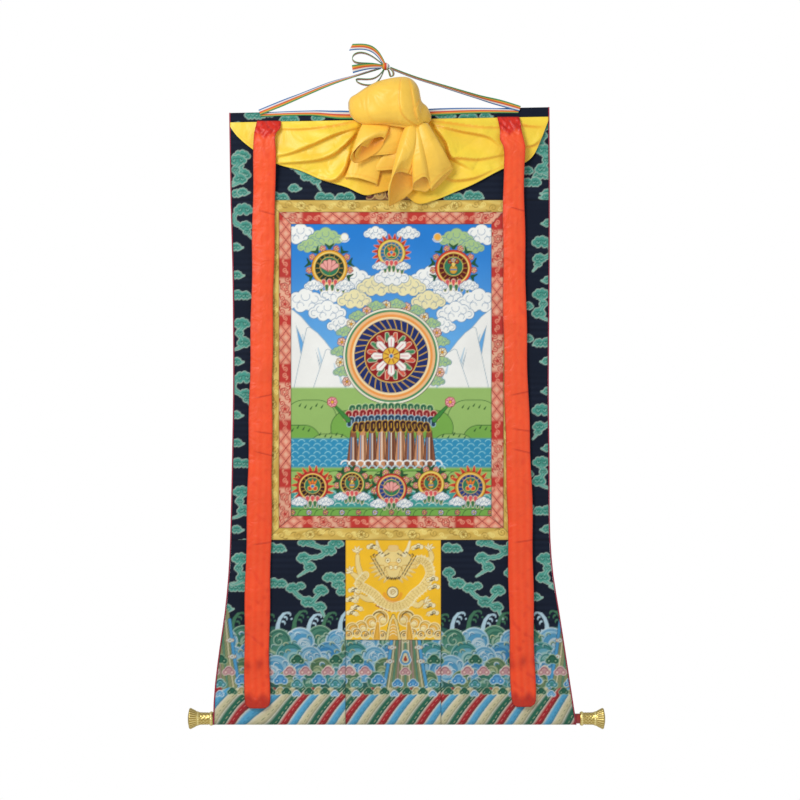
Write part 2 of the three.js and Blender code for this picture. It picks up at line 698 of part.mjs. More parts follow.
// A rolled fold: a tube along a bent line, fullest in its middle.
function rolledFold(roll) {
  const sides = 10;
  const steps = 8;
  const curve = new THREE.QuadraticBezierCurve3(
    new THREE.Vector3(roll.x0, roll.y0, roll.z0),
    new THREE.Vector3(roll.x1, roll.y1, roll.z1),
    new THREE.Vector3(roll.x2, roll.y2, roll.z2),
  );
  const frames = curve.computeFrenetFrames(steps, false);
  const rings = [];
  for (let i = 0; i <= steps; i += 1) {
    const centre = curve.getPointAt(i / steps);
    const radius = roll.radius * (0.45 + 0.55 * Math.sin((Math.PI * i) / steps));
    const ring = [];
    for (let side = 0; side < sides; side += 1) {
      const angle = (2 * Math.PI * side) / sides;
      const point = centre.clone();
      point.addScaledVector(frames.normals[i], radius * Math.cos(angle));
      point.addScaledVector(frames.binormals[i], radius * Math.sin(angle));
      ring.push(point);
    }
    rings.push(ring);
  }
  return loftedRings(rings);
}

// A horn of cloth from its root to its mouth, or the hollow inside it.
function veilHorn(horn, hollow) {
  const turn = THREE.MathUtils.degToRad(horn.turn);
  const inset = hollow ? veilThickness : 0;
  const from = hollow ? hornHollowFrom : 0;
  const to = hollow ? 1.04 : 1;
  const rings = [];
  for (let step = 0; step <= hornSteps; step += 1) {
    const t = THREE.MathUtils.lerp(from, to, step / hornSteps);
    const spread = t ** 0.8;
    const wide = THREE.MathUtils.lerp(hornRoot.radius, horn.wide, spread) - inset;
    const tall = THREE.MathUtils.lerp(hornRoot.radius, horn.tall, spread ** 2) - inset;
    const swell = hornSwell * Math.sin(Math.PI * Math.min(t, 1));
    const centre = new THREE.Vector3(
      THREE.MathUtils.lerp(horn.rootX, horn.x, t),
      THREE.MathUtils.lerp(hornRoot.y, horn.y, t) - swell,
      THREE.MathUtils.lerp(hornRoot.z, horn.z, t),
    );
    const mouthLip = horn.lip - inset * 0.5;
    const deep = THREE.MathUtils.lerp(hornRoot.radius - inset, mouthLip, t ** 2);
    const ring = [];
    for (let side = 0; side < hornSides; side += 1) {
      const angle = (2 * Math.PI * side) / hornSides;
      const across = wide * Math.cos(angle);
      const up = tall * Math.sin(angle) * t ** 2;
      const x = centre.x + across * Math.cos(turn * t) - up * Math.sin(turn * t);
      const z = centre.z + across * Math.sin(turn * t) + up * Math.cos(turn * t);
      ring.push(new THREE.Vector3(x, centre.y - deep * Math.sin(angle), z));
    }
    rings.push(ring);
  }
  return loftedRings(rings);
}

function addVeil() {
  let veil = toSolid(veilWings()).add(toSolid(veilBundleSkin()));
  for (const roll of bundleRolls) veil = veil.add(toSolid(rolledFold(roll)));
  for (const horn of veilHorns) veil = veil.add(toSolid(veilHorn(horn, false)));
  for (const horn of veilHorns) veil = veil.subtract(toSolid(veilHorn(horn, true)));
  addMesh("veil", toGeometry(veil), colours.veil, 0.5);
}

// ---- the five-colour ribbon ----
function ribbonRun(table, steps) {
  const line = new THREE.CatmullRomCurve3(table.map((row) => new THREE.Vector3(row.x, row.y, row.z)));
  const place = (u, v, depth) => {
    const t = THREE.MathUtils.clamp(v, 0, 1);
    const tangent = line.getTangent(t);
    const towards = new THREE.Vector3(0, -1, 0);
    const upright = new THREE.Vector3().crossVectors(tangent, towards).normalize();
    const turn = THREE.MathUtils.degToRad(alongRows(table, "turn", t));
    const across = upright.applyAxisAngle(tangent, turn);
    const face = new THREE.Vector3().crossVectors(across, tangent).normalize();
    const point = line.getPoint(t);
    point.addScaledVector(across, (u - 0.5) * alongRows(table, "width", t));
    return point.addScaledVector(face, depth);
  };
  const half = ribbonThickness / 2;
  return closedSheet(2, steps, (u, v) => place(u, v, half), (u, v) => place(u, v, -half));
}

// A loop of ribbon that leaves the knot, reaches out, turns and comes back, as its outward run and
// its return, which may cross each other near the knot.
function bowLoop(loop) {
  const aim = THREE.MathUtils.degToRad(loop.aim);
  const turn = THREE.MathUtils.degToRad(loop.turn);
  const out = new THREE.Vector3(Math.cos(aim), 0, Math.sin(aim));
  const side = new THREE.Vector3(Math.sin(aim), 0, -Math.cos(aim));
  const front = new THREE.Vector3(0, -1, 0);
  const across = side.clone().multiplyScalar(Math.cos(turn)).addScaledVector(front, Math.sin(turn));
  const apart = front.clone().multiplyScalar(Math.cos(turn)).addScaledVector(side, -Math.sin(turn));
  const middle = (t) => {
    const reach = loop.reach * Math.abs(Math.sin(Math.PI * t)) ** 0.8;
    const curl = Math.sin((Math.PI * reach) / loop.reach);
    const point = new THREE.Vector3(knot.x, knot.y, knot.z);
    point.addScaledVector(out, reach);
    point.addScaledVector(side, loop.bend * curl);
    point.addScaledVector(front, (loop.forward * reach) / loop.reach);
    return point.addScaledVector(apart, (loop.opening / 2) * Math.sin(2 * Math.PI * t));
  };
  const place = (u, v, depth) => {
    const t = THREE.MathUtils.lerp(0.004, 0.996, v);
    const tangent = middle(Math.min(t + 0.01, 1)).sub(middle(Math.max(t - 0.01, 0))).normalize();
    const face = new THREE.Vector3().crossVectors(across, tangent).normalize();
    const width = loop.width * (0.4 + 0.6 * Math.sin(Math.PI * t) ** 0.6);
    return middle(t).addScaledVector(across, (u - 0.5) * width).addScaledVector(face, depth);
  };
  const half = ribbonThickness / 2;
  const run = (from, to) => {
    const on = (v) => THREE.MathUtils.lerp(from, to, v);
    return toSolid(closedSheet(1, 12, (u, v) => place(u, on(v), half), (u, v) => place(u, on(v), -half)));
  };
  return run(0, 0.54).add(run(0.5, 1));
}

function ribbonBow() {
  const sides = 12;
  const rings = [];
  for (let i = 1; i < 8; i += 1) {
    const polar = (Math.PI * i) / 8;
    const ring = [];
    for (let side = 0; side < sides; side += 1) {
      const angle = (2 * Math.PI * side) / sides;
      ring.push(new THREE.Vector3(
        knot.x + knot.wide * Math.cos(polar),
        knot.y + knot.deep * Math.sin(polar) * Math.cos(angle),
        knot.z + knot.tall * Math.sin(polar) * Math.sin(angle),
      ));
    }
    rings.push(ring);
  }
  let bow = toSolid(loftedRings(rings));
  for (const loop of bowLoops) bow = bow.add(bowLoop(loop));
  return toGeometry(bow);
}

function addRibbon() {
  addMesh("ribbon_left", ribbonRun(ribbonLeftRows, 18), colours.ribbon, 0.6);
  addMesh("ribbon_right", ribbonRun(ribbonRightRows, 18), colours.ribbon, 0.6);
  addMesh("ribbon_lower", ribbonRun(ribbonLowerRows, 24), colours.ribbon, 0.6);
  addMesh("ribbon_bow", ribbonBow(), colours.ribbon, 0.6);
}

addBrocade();
addPiping();
addPicture();
addRod();
addStreamers();
addVeil();
addRibbon();

export default group;
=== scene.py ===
# A thangka: a scroll painting in a brocade mount, with its veil rolled up, hung by a five-colour ribbon.
# Millimetres inside the functions, metres in the meshes. The picture side faces -Y, +Z is up.
import bpy
import bmesh
import math
import numpy as np
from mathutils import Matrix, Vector


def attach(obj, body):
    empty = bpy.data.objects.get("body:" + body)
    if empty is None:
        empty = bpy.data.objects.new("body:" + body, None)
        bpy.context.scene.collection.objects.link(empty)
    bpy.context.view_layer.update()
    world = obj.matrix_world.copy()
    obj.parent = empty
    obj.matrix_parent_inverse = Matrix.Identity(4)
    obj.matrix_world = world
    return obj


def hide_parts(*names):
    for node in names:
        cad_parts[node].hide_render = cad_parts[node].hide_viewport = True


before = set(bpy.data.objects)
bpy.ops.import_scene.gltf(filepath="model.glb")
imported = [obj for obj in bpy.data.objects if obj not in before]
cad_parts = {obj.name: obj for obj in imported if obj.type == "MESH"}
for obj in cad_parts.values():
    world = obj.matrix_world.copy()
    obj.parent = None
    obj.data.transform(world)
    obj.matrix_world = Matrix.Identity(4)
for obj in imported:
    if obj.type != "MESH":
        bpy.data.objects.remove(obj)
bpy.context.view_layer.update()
root = "root"
pi = math.pi
scene = bpy.context.scene


# camera, light and floor
studio = {
    "lens": 100, "sensor": 36, "distance": 4.444, "centreX": 0.029, "centreZ": -0.668, "frontY": -0.036,
    "floorZ": -2.3, "floorSize": 6.4, "floorColour": "#f4f3f0", "backdropWhite": 1.0, "ambient": 0.5,
    "keyPower": 62, "keySize": 1.2, "keyPlace": (-1.6, -2.6, 1.1),
    "fillPower": 10, "fillSize": 2.4, "fillPlace": (2.2, -2.8, -0.9),
}


def linearColour(hexValue):
    parts = [int(hexValue[i:i + 2], 16) / 255 for i in (1, 3, 5)]
    return np.array([c / 12.92 if c <= 0.04045 else ((c + 0.055) / 1.055) ** 2.4 for c in parts])


def rgba(hexValue):
    return (*linearColour(hexValue), 1.0)


def addNode(tree, kind, options=None, inputs=None):
    node = tree.nodes.new(kind)
    for name, value in (options or {}).items():
        setattr(node, name, value)
    for name, value in (inputs or {}).items():
        if isinstance(value, bpy.types.NodeSocket):
            tree.links.new(value, node.inputs[name])
        else:
            node.inputs[name].default_value = value
    return node


def addLight(name, power, size, place, aim):
    light = bpy.data.lights.new(name, "AREA")
    light.energy, light.size = power, size
    lamp = bpy.data.objects.new(name, light)
    lamp.location = place
    lamp.rotation_euler = (Vector(aim) - Vector(place)).to_track_quat("-Z", "Y").to_euler()
    scene.collection.objects.link(lamp)


def makeStudio():
    camera = bpy.data.objects.new("camera", bpy.data.cameras.new("camera"))
    camera.data.lens, camera.data.sensor_width = studio["lens"], studio["sensor"]
    camera.location = (studio["centreX"], studio["frontY"] - studio["distance"], studio["centreZ"])
    camera.rotation_euler = (pi / 2, 0, 0)
    scene.collection.objects.link(camera)
    scene.camera = camera
    aim = (studio["centreX"], 0, studio["centreZ"])
    addLight("keyLight", studio["keyPower"], studio["keySize"], studio["keyPlace"], aim)
    addLight("fillLight", studio["fillPower"], studio["fillSize"], studio["fillPlace"], aim)
    world = bpy.data.worlds.new("studio")
    scene.world = world
    world.use_nodes = True
    tree = world.node_tree
    tree.nodes.clear()
    path = addNode(tree, "ShaderNodeLightPath")
    soft = addNode(tree, "ShaderNodeBackground", None, {"Color": (1, 1, 1, 1),
                                                        "Strength": studio["ambient"]})
    white = addNode(tree, "ShaderNodeBackground", None, {"Color": (1, 1, 1, 1),
                                                         "Strength": studio["backdropWhite"]})
    mix = addNode(tree, "ShaderNodeMixShader", None, {
        0: path.outputs["Is Camera Ray"], 1: soft.outputs[0], 2: white.outputs[0]})
    addNode(tree, "ShaderNodeOutputWorld", None, {"Surface": mix.outputs[0]})
    scene.view_settings.view_transform = "Standard"
    bm = bmesh.new()
    bmesh.ops.create_grid(bm, x_segments=4, y_segments=4, size=studio["floorSize"] / 2)
    for vert in bm.verts:
        vert.co.z = studio["floorZ"]
    floor = meshObject("floor", bm)
    # matt white paint: it takes the soft shadows and gives no highlight
    floor.data.materials.append(newMaterial("paintedFloor", studio["floorColour"], 0.8)[0])
    print("studio done")


def meshObject(name, bm):
    mesh = bpy.data.meshes.new(name)
    bm.to_mesh(mesh)
    bm.free()
    piece = bpy.data.objects.new(name, mesh)
    scene.collection.objects.link(piece)
    return piece


def newMaterial(name, hexValue, roughness, metallic=0.0):
    material = bpy.data.materials.new(name)
    material.use_nodes = True
    tree = material.node_tree
    shader = tree.nodes["Principled BSDF"]
    shader.inputs["Base Color"].default_value = rgba(hexValue)
    shader.inputs["Roughness"].default_value = roughness
    shader.inputs["Metallic"].default_value = metallic
    return material, shader, tree


# reading tables
def readColumn(table, along, column, at):
    keys = np.array(table[along], float)
    values = np.array(table[column], float)
    if keys[0] > keys[-1]:
        keys, values = keys[::-1], values[::-1]
    at = np.asarray(at, float)
    last = len(keys) - 1
    before = np.maximum(np.arange(last + 1) - 1, 0)
    after = np.minimum(np.arange(last + 1) + 1, last)
    slope = (values[after] - values[before]) / (keys[after] - keys[before])
    i = np.clip(np.searchsorted(keys, at) - 1, 0, last - 1)
    span = keys[i + 1] - keys[i]
    t = np.clip((at - keys[i]) / span, 0, 1)
    ease = t * t * (3 - 2 * t)
    leave = t * (1 - t) ** 2 * span * slope[i]
    arrive = t * t * (1 - t) * span * slope[i + 1]
    return values[i] * (1 - ease) + values[i + 1] * ease + leave - arrive


def lerp(a, b, t):
    return a + (b - a) * t


def smoothstep(value, low, high):
    t = np.clip((value - low) / (high - low), 0, 1)
    return t * t * (3 - 2 * t)


def unit(vectors):
    return vectors / np.maximum(np.linalg.norm(vectors, axis=-1, keepdims=True), 1e-9)


# points: rows of numbers; a Catmull-Rom line through them, steps + 1 rows (steps rows if closed)
def smoothLine(points, steps, closed=False):
    points = np.array(points, float)
    count = len(points)
    spans = count if closed else count - 1
    t = np.linspace(0, spans, steps + 1)[:-1] if closed else np.linspace(0, spans, steps + 1)
    i = np.minimum(t.astype(int), spans - 1)
    f = (t - i)[:, None]

    def at(k):
        return points[k % count] if closed else points[np.clip(k, 0, count - 1)]
    p0, p1, p2, p3 = at(i - 1), at(i), at(i + 1), at(i + 2)
    bend, twist = 2 * p0 - 5 * p1 + 4 * p2 - p3, 3 * p1 - p0 - 3 * p2 + p3
    return 0.5 * (2 * p1 + (p2 - p0) * f + bend * f ** 2 + twist * f ** 3)


# the hanging cloth: sizes shared by its pieces
scroll = {
    "seamGap": -0.06, "clothThickness": 1.5, "pipingWidth": 2.6,
    "pictureWidth": 401, "pictureHeight": 584, "bandWidth": 24, "centreX": 11.5, "frameTopZ": -268,
    "doorLeftX": -80, "doorRightX": 111, "doorHeight": 200,
    "rodY": -22, "rodZ": -1307, "hemRadius": 12.3, "hemWrap": 250, "hemSeamRise": 17,
    "topEdgeZ": -87.5, "topEdgeTilt": 0.018, "threadStep": 1.8,
}
frontY = scroll["rodY"] - scroll["hemRadius"]
halfGap = scroll["seamGap"] / 2
goldHalfWidth = scroll["pictureWidth"] / 2 + 2 * scroll["bandWidth"]
goldLeftX, goldRightX = scroll["centreX"] - goldHalfWidth, scroll["centreX"] + goldHalfWidth
frameBottomZ = scroll["frameTopZ"] - scroll["pictureHeight"] - 4 * scroll["bandWidth"]

outerEdges = {
    "z": (-80, -250, -430, -640, -800, -930, -1010, -1090, -1170, -1250, -1320),
    "left": (-313, -310.5, -306, -305, -307.5, -310.5, -314, -321.5, -333, -342.5, -345.5),
    "right": (328, 329, 328.5, 327, 328.5, 329.5, 335, 347.5, 360, 372, 383),
}
rippleRows = {"z": (-80, -290, -450, -900, -1130, -1240, -1285, -1330),
              "depth": (0, 0, 1, 1.3, 2.4, 1.2, 0, 0)}
rippleWaves = {"length": (250, 118), "slant": (420, -300), "start": (0.6, 1.1), "share": (0.7, 0.3)}


def ripple(x, z):
    waves = zip(*(rippleWaves[name] for name in ("length", "slant", "start", "share")))
    total = sum(share * np.sin(2 * pi * x / length + z / slant + start)
                for length, slant, start, share in waves)
    return readColumn(rippleRows, "z", "depth", z) * total


def topEdge(x):
    return scroll["topEdgeZ"] + scroll["topEdgeTilt"] * (x - scroll["centreX"])


def clothLeft(z):
    return readColumn(outerEdges, "z", "left", z) + scroll["pipingWidth"] + halfGap


def clothRight(z):
    return readColumn(outerEdges, "z", "right", z) - scroll["pipingWidth"] - halfGap


def addGrid(bm, columns, rows):
    made = bmesh.ops.create_grid(bm, x_segments=columns, y_segments=rows, size=1)["verts"]
    flat = np.array([vert.co[:2] for vert in made])
    return made, (flat[:, 0] + 1) / 2, (1 - flat[:, 1]) / 2


def moveTo(verts, points):
    for vert, point in zip(verts, points * 0.001):
        vert.co = point


# A closed cloth: a fine front that takes the woven figure, and a coarser back joined to it round the rim.
# place(u, v, side) gives points in mm, side 0 for the front and 1 for the back
def backedCloth(name, columns, rows, place, coarse=6):
    bm = bmesh.new()
    sides = []
    for side, step in ((0, 1), (1, coarse)):
        made, u, v = addGrid(bm, max(columns // step, 2), max(rows // step, 2))
        moveTo(made, place(u, v, side))
        faces = {face for vert in made for face in vert.link_faces}
        rim = {edge for face in faces for edge in face.edges if edge.is_boundary}
        if side == 1:
            bmesh.ops.reverse_faces(bm, faces=list(faces))
        sides.append((made, u, v, rim))
    for edge in sides[0][3] | sides[1][3]:
        edge.smooth = False
    bmesh.ops.bridge_loops(bm, edges=list(sides[0][3] | sides[1][3]))
    for face in bm.faces:
        face.smooth = True
    bmesh.ops.recalc_face_normals(bm, faces=bm.faces)
    frontCount = len(sides[0][0])
    piece = meshObject(name, bm)
    return piece, sides[0][1], sides[0][2], frontCount


def dye(piece, colours, name="dye"):  # stores one linear colour for each vertex
    layer = piece.data.attributes.new(name, "FLOAT_COLOR", "POINT")
    full = np.ones((len(piece.data.vertices), 4), np.float32)
    full[:, :3] = colours
    layer.data.foreach_set("color", full.ravel())


def finishPiece(piece, material, slot, *nodes):
    piece.data.materials.append(material)
    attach(piece, root)
    if nodes:
        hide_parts(*nodes)


def dyedAndShadedCloth(name, material, slot, columns, rows, place, paint, backHex, flatOf=None, **sheet):
    piece, u, v, frontCount = backedCloth(name, columns, rows, place)
    points = place(u, v, 0)
    flat = flatOf(u, v) if flatOf else (points[:, 0], points[:, 2])
    colours = np.tile(linearColour(backHex), (len(piece.data.vertices), 1))
    fromEdge = np.minimum(np.minimum(u, 1 - u) * columns, np.minimum(v, 1 - v) * rows)
    seamShade = 1 - 0.5 * np.clip(1.2 - fromEdge, 0, 1)  # painted shade along the edges, where the cloth turns down into its seam
    colours[:frontCount] = paint(flat[0], flat[1]) * seamShade[:, None]
    dye(piece, colours)
    finishPiece(piece, material, slot, name)


def finishShell(name, bm, colours, thickness, material, slot, **sheet):  # a thin cloth, given its thickness
    for face in bm.faces:
        face.smooth = True
    piece = meshObject(name, bm)
    dye(piece, colours)
    shell = piece.modifiers.new("clothThickness", "SOLIDIFY")
    shell.thickness, shell.offset = thickness / 1000, 0
    finishPiece(piece, material, slot, name)


# cloth materials
def waveScale(period):  # the Wave Texture's scale for a thread period in mm, on coordinates in metres
    return 2 * pi / (20 * period * 0.001)


# woven cloth: dyed evenly, or by the piece's colour attribute, its dye with any painted shade. The weave is
# drawn coarser than life
def clothMaterial(name, values, hexValue=None):
    material, shader, tree = newMaterial(name, hexValue or "#808080", values["roughness"])
    where = addNode(tree, "ShaderNodeTexCoord").outputs["Object"]
    if hexValue:
        baseColour = tuple(linearColour(hexValue))
    else:
        baseColour = addNode(tree, "ShaderNodeAttribute", {"attribute_name": "dye"}).outputs["Color"]
    slub = addNode(tree, "ShaderNodeTexNoise", None, {
        "Vector": where, "Scale": 1000 / values["patchSize"], "Detail": 4.0, "Roughness": 0.6})
    unevenDye = addNode(tree, "ShaderNodeMapRange", None, {
        "Value": slub.outputs["Fac"], "From Min": 0.3, "From Max": 0.7,
        "To Min": 1 - values["unevenness"], "To Max": 1 + values["unevenness"]})
    warp = addNode(tree, "ShaderNodeTexWave", {"wave_type": "BANDS", "bands_direction": "X"}, {
        "Vector": where, "Scale": waveScale(values["thread"]), "Distortion": 1.2, "Detail": 1.0,
        "Detail Scale": 0.5})
    weft = addNode(tree, "ShaderNodeTexWave", {"wave_type": "BANDS", "bands_direction": "Z"}, {
        "Vector": where, "Scale": waveScale(values["thread"] * 0.8), "Distortion": 1.2, "Detail": 1.0,
        "Detail Scale": 0.5})
    weave = addNode(tree, "ShaderNodeMath", {"operation": "MULTIPLY"},
                    {0: warp.outputs["Fac"], 1: weft.outputs["Fac"]})
    threadShade = addNode(tree, "ShaderNodeMapRange", None, {
        "Value": weave.outputs[0], "To Min": 1 - values["threadShade"],
        "To Max": 1 + values["threadShade"] * 0.6})
    shade = addNode(tree, "ShaderNodeMath", {"operation": "MULTIPLY"}, {
        0: unevenDye.outputs[0], 1: threadShade.outputs[0]})
    tinted = addNode(tree, "ShaderNodeVectorMath", {"operation": "SCALE"},
                     {0: baseColour, "Scale": shade.outputs[0]})
    tree.links.new(tinted.outputs["Vector"], shader.inputs["Base Color"])
    bump = addNode(tree, "ShaderNodeBump", None, {
        "Height": weave.outputs[0], "Strength": values["weaveBump"], "Distance": values["thread"] * 0.0004})
    if "creases" in values:  # soft handling creases, in mm
        crumple = addNode(tree, "ShaderNodeTexNoise", None, {
            "Vector": where, "Scale": 1000 / values["creaseSize"], "Detail": 2.5, "Distortion": 0.6})
        soft = addNode(tree, "ShaderNodeBump", None, {
            "Height": crumple.outputs["Fac"], "Strength": 1.0, "Distance": values["creases"] * 0.006})
        tree.links.new(soft.outputs["Normal"], bump.inputs["Normal"])
    tree.links.new(bump.outputs["Normal"], shader.inputs["Normal"])
    shader.inputs["Sheen Weight"].default_value = values["sheen"]
    shader.inputs["Sheen Roughness"].default_value = 0.4
    shader.inputs["Specular IOR Level"].default_value = values["specular"]
    return material


# painting figures into the cloth's colours; the streamers take their painted shade and sheen the same way
# x and z place each vertex on the flat cloth in mm; soft is how wide a figure's edge is
def newPattern(x, z, groundHex, soft=1.7):
    return {"x": x, "z": z, "soft": soft, "dye": np.tile(linearColour(groundHex), (len(x), 1))}


# distance to a chain of round-ended strokes, negative inside; one point makes a disc
def strokeDistance(x, z, points, radii):
    points, radii = np.array(points, float), np.array(radii, float)
    if radii.ndim == 0:
        radii = np.full(len(points), float(radii))
    if len(points) == 1:
        return np.hypot(x - points[0, 0], z - points[0, 1]) - radii[0]
    nearest = np.full(x.shape, 1e9)
    for (ax, az), (bx, bz), ra, rb in zip(points[:-1], points[1:], radii[:-1], radii[1:]):
        dx, dz = bx - ax, bz - az
        t = np.clip(((x - ax) * dx + (z - az) * dz) / max(dx * dx + dz * dz, 1e-9), 0, 1)
        nearest = np.minimum(nearest, np.hypot(x - ax - t * dx, z - az - t * dz) - (ra + (rb - ra) * t))
    return nearest


def layOver(cloth, chosen, cover, hexValue):
    cloth["dye"][chosen] += cover[:, None] * (linearColour(hexValue) - cloth["dye"][chosen])


def wash(cloth, cover, hexValue):  # a colour over the whole piece
    layOver(cloth, slice(None), cover, hexValue)


# one figure made of strokes (points, radii), woven in fillHex and edged in rimHex
def motif(cloth, strokes, fillHex, rimHex=None, rim=1.6, strength=1.0):
    corners = np.concatenate([np.array(points, float) for points, radii in strokes])
    reach = max(np.max(radii) for points, radii in strokes) + rim + cloth["soft"]
    x, z = cloth["x"], cloth["z"]
    low, high = corners.min(axis=0) - reach, corners.max(axis=0) + reach
    chosen = np.flatnonzero((x > low[0]) & (x < high[0]) & (z > low[1]) & (z < high[1]))
    if len(chosen) == 0:
        return
    distance = np.min([strokeDistance(x[chosen], z[chosen], *one) for one in strokes], axis=0)
    soft = cloth["soft"]
    if rimHex:
        layOver(cloth, chosen, strength * np.clip(0.5 - (distance - rim) / soft, 0, 1), rimHex)
    layOver(cloth, chosen, strength * np.clip(0.5 - distance / soft, 0, 1), fillHex)


def stroke(cloth, points, radii, *look):  # a figure of one stroke
    motif(cloth, [(points, radii)], *look)


def disc(cloth, x, z, radius, *look):
    motif(cloth, [(((x, z),), (radius,))], *look)


def polar(x, z, reach, angle):
    return x + reach * math.cos(angle), z + reach * math.sin(angle)


# points on an arc from start to end in degrees; growth adds to the radius along it, for a spiral
def arcPoints(cx, cz, radius, start, end, count=14, growth=0.0):
    t = np.linspace(0, 1, count)
    angle = np.radians(start + (end - start) * t)
    r = radius + growth * t
    return np.stack([cx + r * np.cos(angle), cz + r * np.sin(angle)], axis=1)


# the brocade mount
brocade = {  # silk brocade, woven on a drawloom: a matt ribbed ground with raised figures
    "ground": "#08152a", "reverse": "#5f6672", "weft": "#4a5a78",
    "fill": "#4d9f90", "rim": "#adcabb", "curl": "#1d6458", "light": "#93cdbd", "cloudRepeat": 336,
    "threads": {"roughness": 0.6, "sheen": 0.04, "specular": 0.16, "thread": 1.3, "threadShade": 0.16,
                "weaveBump": 0.5, "patchSize": 60, "unevenness": 0.08},
    "sleeve": 19.0, "topPanelHeight": 185, "skirtWidths": (249, 190.7, 250),
}
cloudShapes = {  # heads (x, z, half width, half height), then the ribbons of (x, z, radius) that join them
    "hook": (((0, 0, 17, 10), (4, -33, 11, 8), (7, -44, 6, 5)),
             (((-12, -4, 5), (-19, -14, 5), (-17, -26, 5.5), (-4, -33, 6)),
              ((7, -44, 4), (12, -52, 2.4), (17, -58, 0.8)))),
    "snake": (((0, 0, 16, 9), (-4, -19, 6, 6), (5, -38, 11, 9)),
              (((2, -8, 5), (-5, -18, 5), (0, -29, 5.5), (5, -38, 6)),
               ((2, -44, 4.5), (-8, -50, 3), (-18, -53, 1.5)))),
    "crown": (((-27, 27, 17, 7), (32, 25, 14, 8), (18, 11, 12, 9), (-33, -4, 11, 9), (-20, -22, 9, 8)),
              (((-26, 25, 5), (-8, 20, 5), (16, 12, 5.5)),
               ((16, 10, 5.5), (0, -1, 5.5), (-16, -3, 5), (-33, -4, 5)),
               ((-32, -8, 5), (-27, -17, 5), (-20, -22, 6)),
               ((-20, -25, 4.5), (-32, -33, 3), (-44, -41, 1)))),
    "drift": (((-29, 18, 11, 8), (-13, 22, 8, 6), (28, 13, 12, 9), (2, -10, 11, 9), (26, -20, 10, 8)),
              (((-28, 14, 5), (-17, 2, 5), (2, -10, 6)), ((2, -10, 6), (14, -16, 5.5), (26, -20, 6)),
               ((28, 10, 5), (19, 0, 4.5), (10, -10, 5)), ((28, -22, 4), (32, -34, 2.8), (38, -44, 0.8)))),
    "wing": (((-10, 11, 13, 8), (10, 12, 9, 7), (7, -3, 12, 7), (13, -17, 8, 7)),
             (((-10, 9, 5), (0, 2, 5), (9, -6, 5), (13, -17, 5)),)),
    "step": (((-14, 17, 10, 8), (3, -5, 15, 9)), (((-13, 13, 5), (-12, 4, 5), (-4, -4, 5.5)),
                                                  ((15, -7, 4.5), (21, -9, 1)))),
    "pair": (((-8, 0, 9, 8), (8, -1, 9, 7)), (((12, -3, 4), (20, -5, 0.8)),)),
    "scrap": (((0, 0, 9, 6.5),), (((6, -3, 3.5), (14, -1, 0.8)),)),
}
stripColumns = (  # clouds of the two side strips and the top panel over one repeat of the weave
    (-284, -287, "hook", 1), (-299, -362, "scrap", 1), (-297, -418, "scrap", 1), (-288, -458, "pair", 1),
    (-288, -515, "snake", 1), (-298, -591, "scrap", 1),
    (326, -314, "scrap", -1), (312, -352, "hook", -1), (326, -428, "scrap", -1), (312, -456, "snake", -1),
    (285, -480, "scrap", -1), (315, -553, "pair", -1), (285, -545, "scrap", -1), (324, -590, "scrap", -1),
)
topClouds = (
    (-262, -97, "pair", 1), (-231, -94, "scrap", -1), (-193, -107, "pair", -1), (-137, -103, "scrap", 1),
    (-296, -188, "snake", 1), (-286, -252, "scrap", 1), (-160, -213, "drift", 0.8),
    (-183, -244, "scrap", 1), (-213, -262, "pair", 1), (-121, -262, "pair", 1), (-81, -262, "pair", -1),
    (137, -262, "pair", 1), (176, -259, "pair", 1), (120, -96, "pair", 1), (165, -104, "pair", -1),
    (200, -100, "scrap", 1), (318, -168, "snake", -1), (292, -232, "pair", -1), (322, -262, "scrap", -1),
)
skirtClouds = {
    "left": ((-131, -980, "crown", 1), (-157, -1062, "drift", 1), (-101, -1034, "wing", 1),
             (-216, -1034, "pair", 1), (-219, -964, "pair", 1), (-296, -1042, "pair", 1),
             (-290, -985, "snake", 1), (-318, -1085, "scrap", 1)),
    "centre": (),
    "right": ((133, -964, "pair", 1), (141, -1030, "step", 1), (226, -980, "crown", 1),
              (197, -1062, "drift", 1), (262, -1024, "wing", 1), (320, -985, "snake", -1),
              (300, -1062, "scrap", 1), (342, -1040, "scrap", -1)),
}
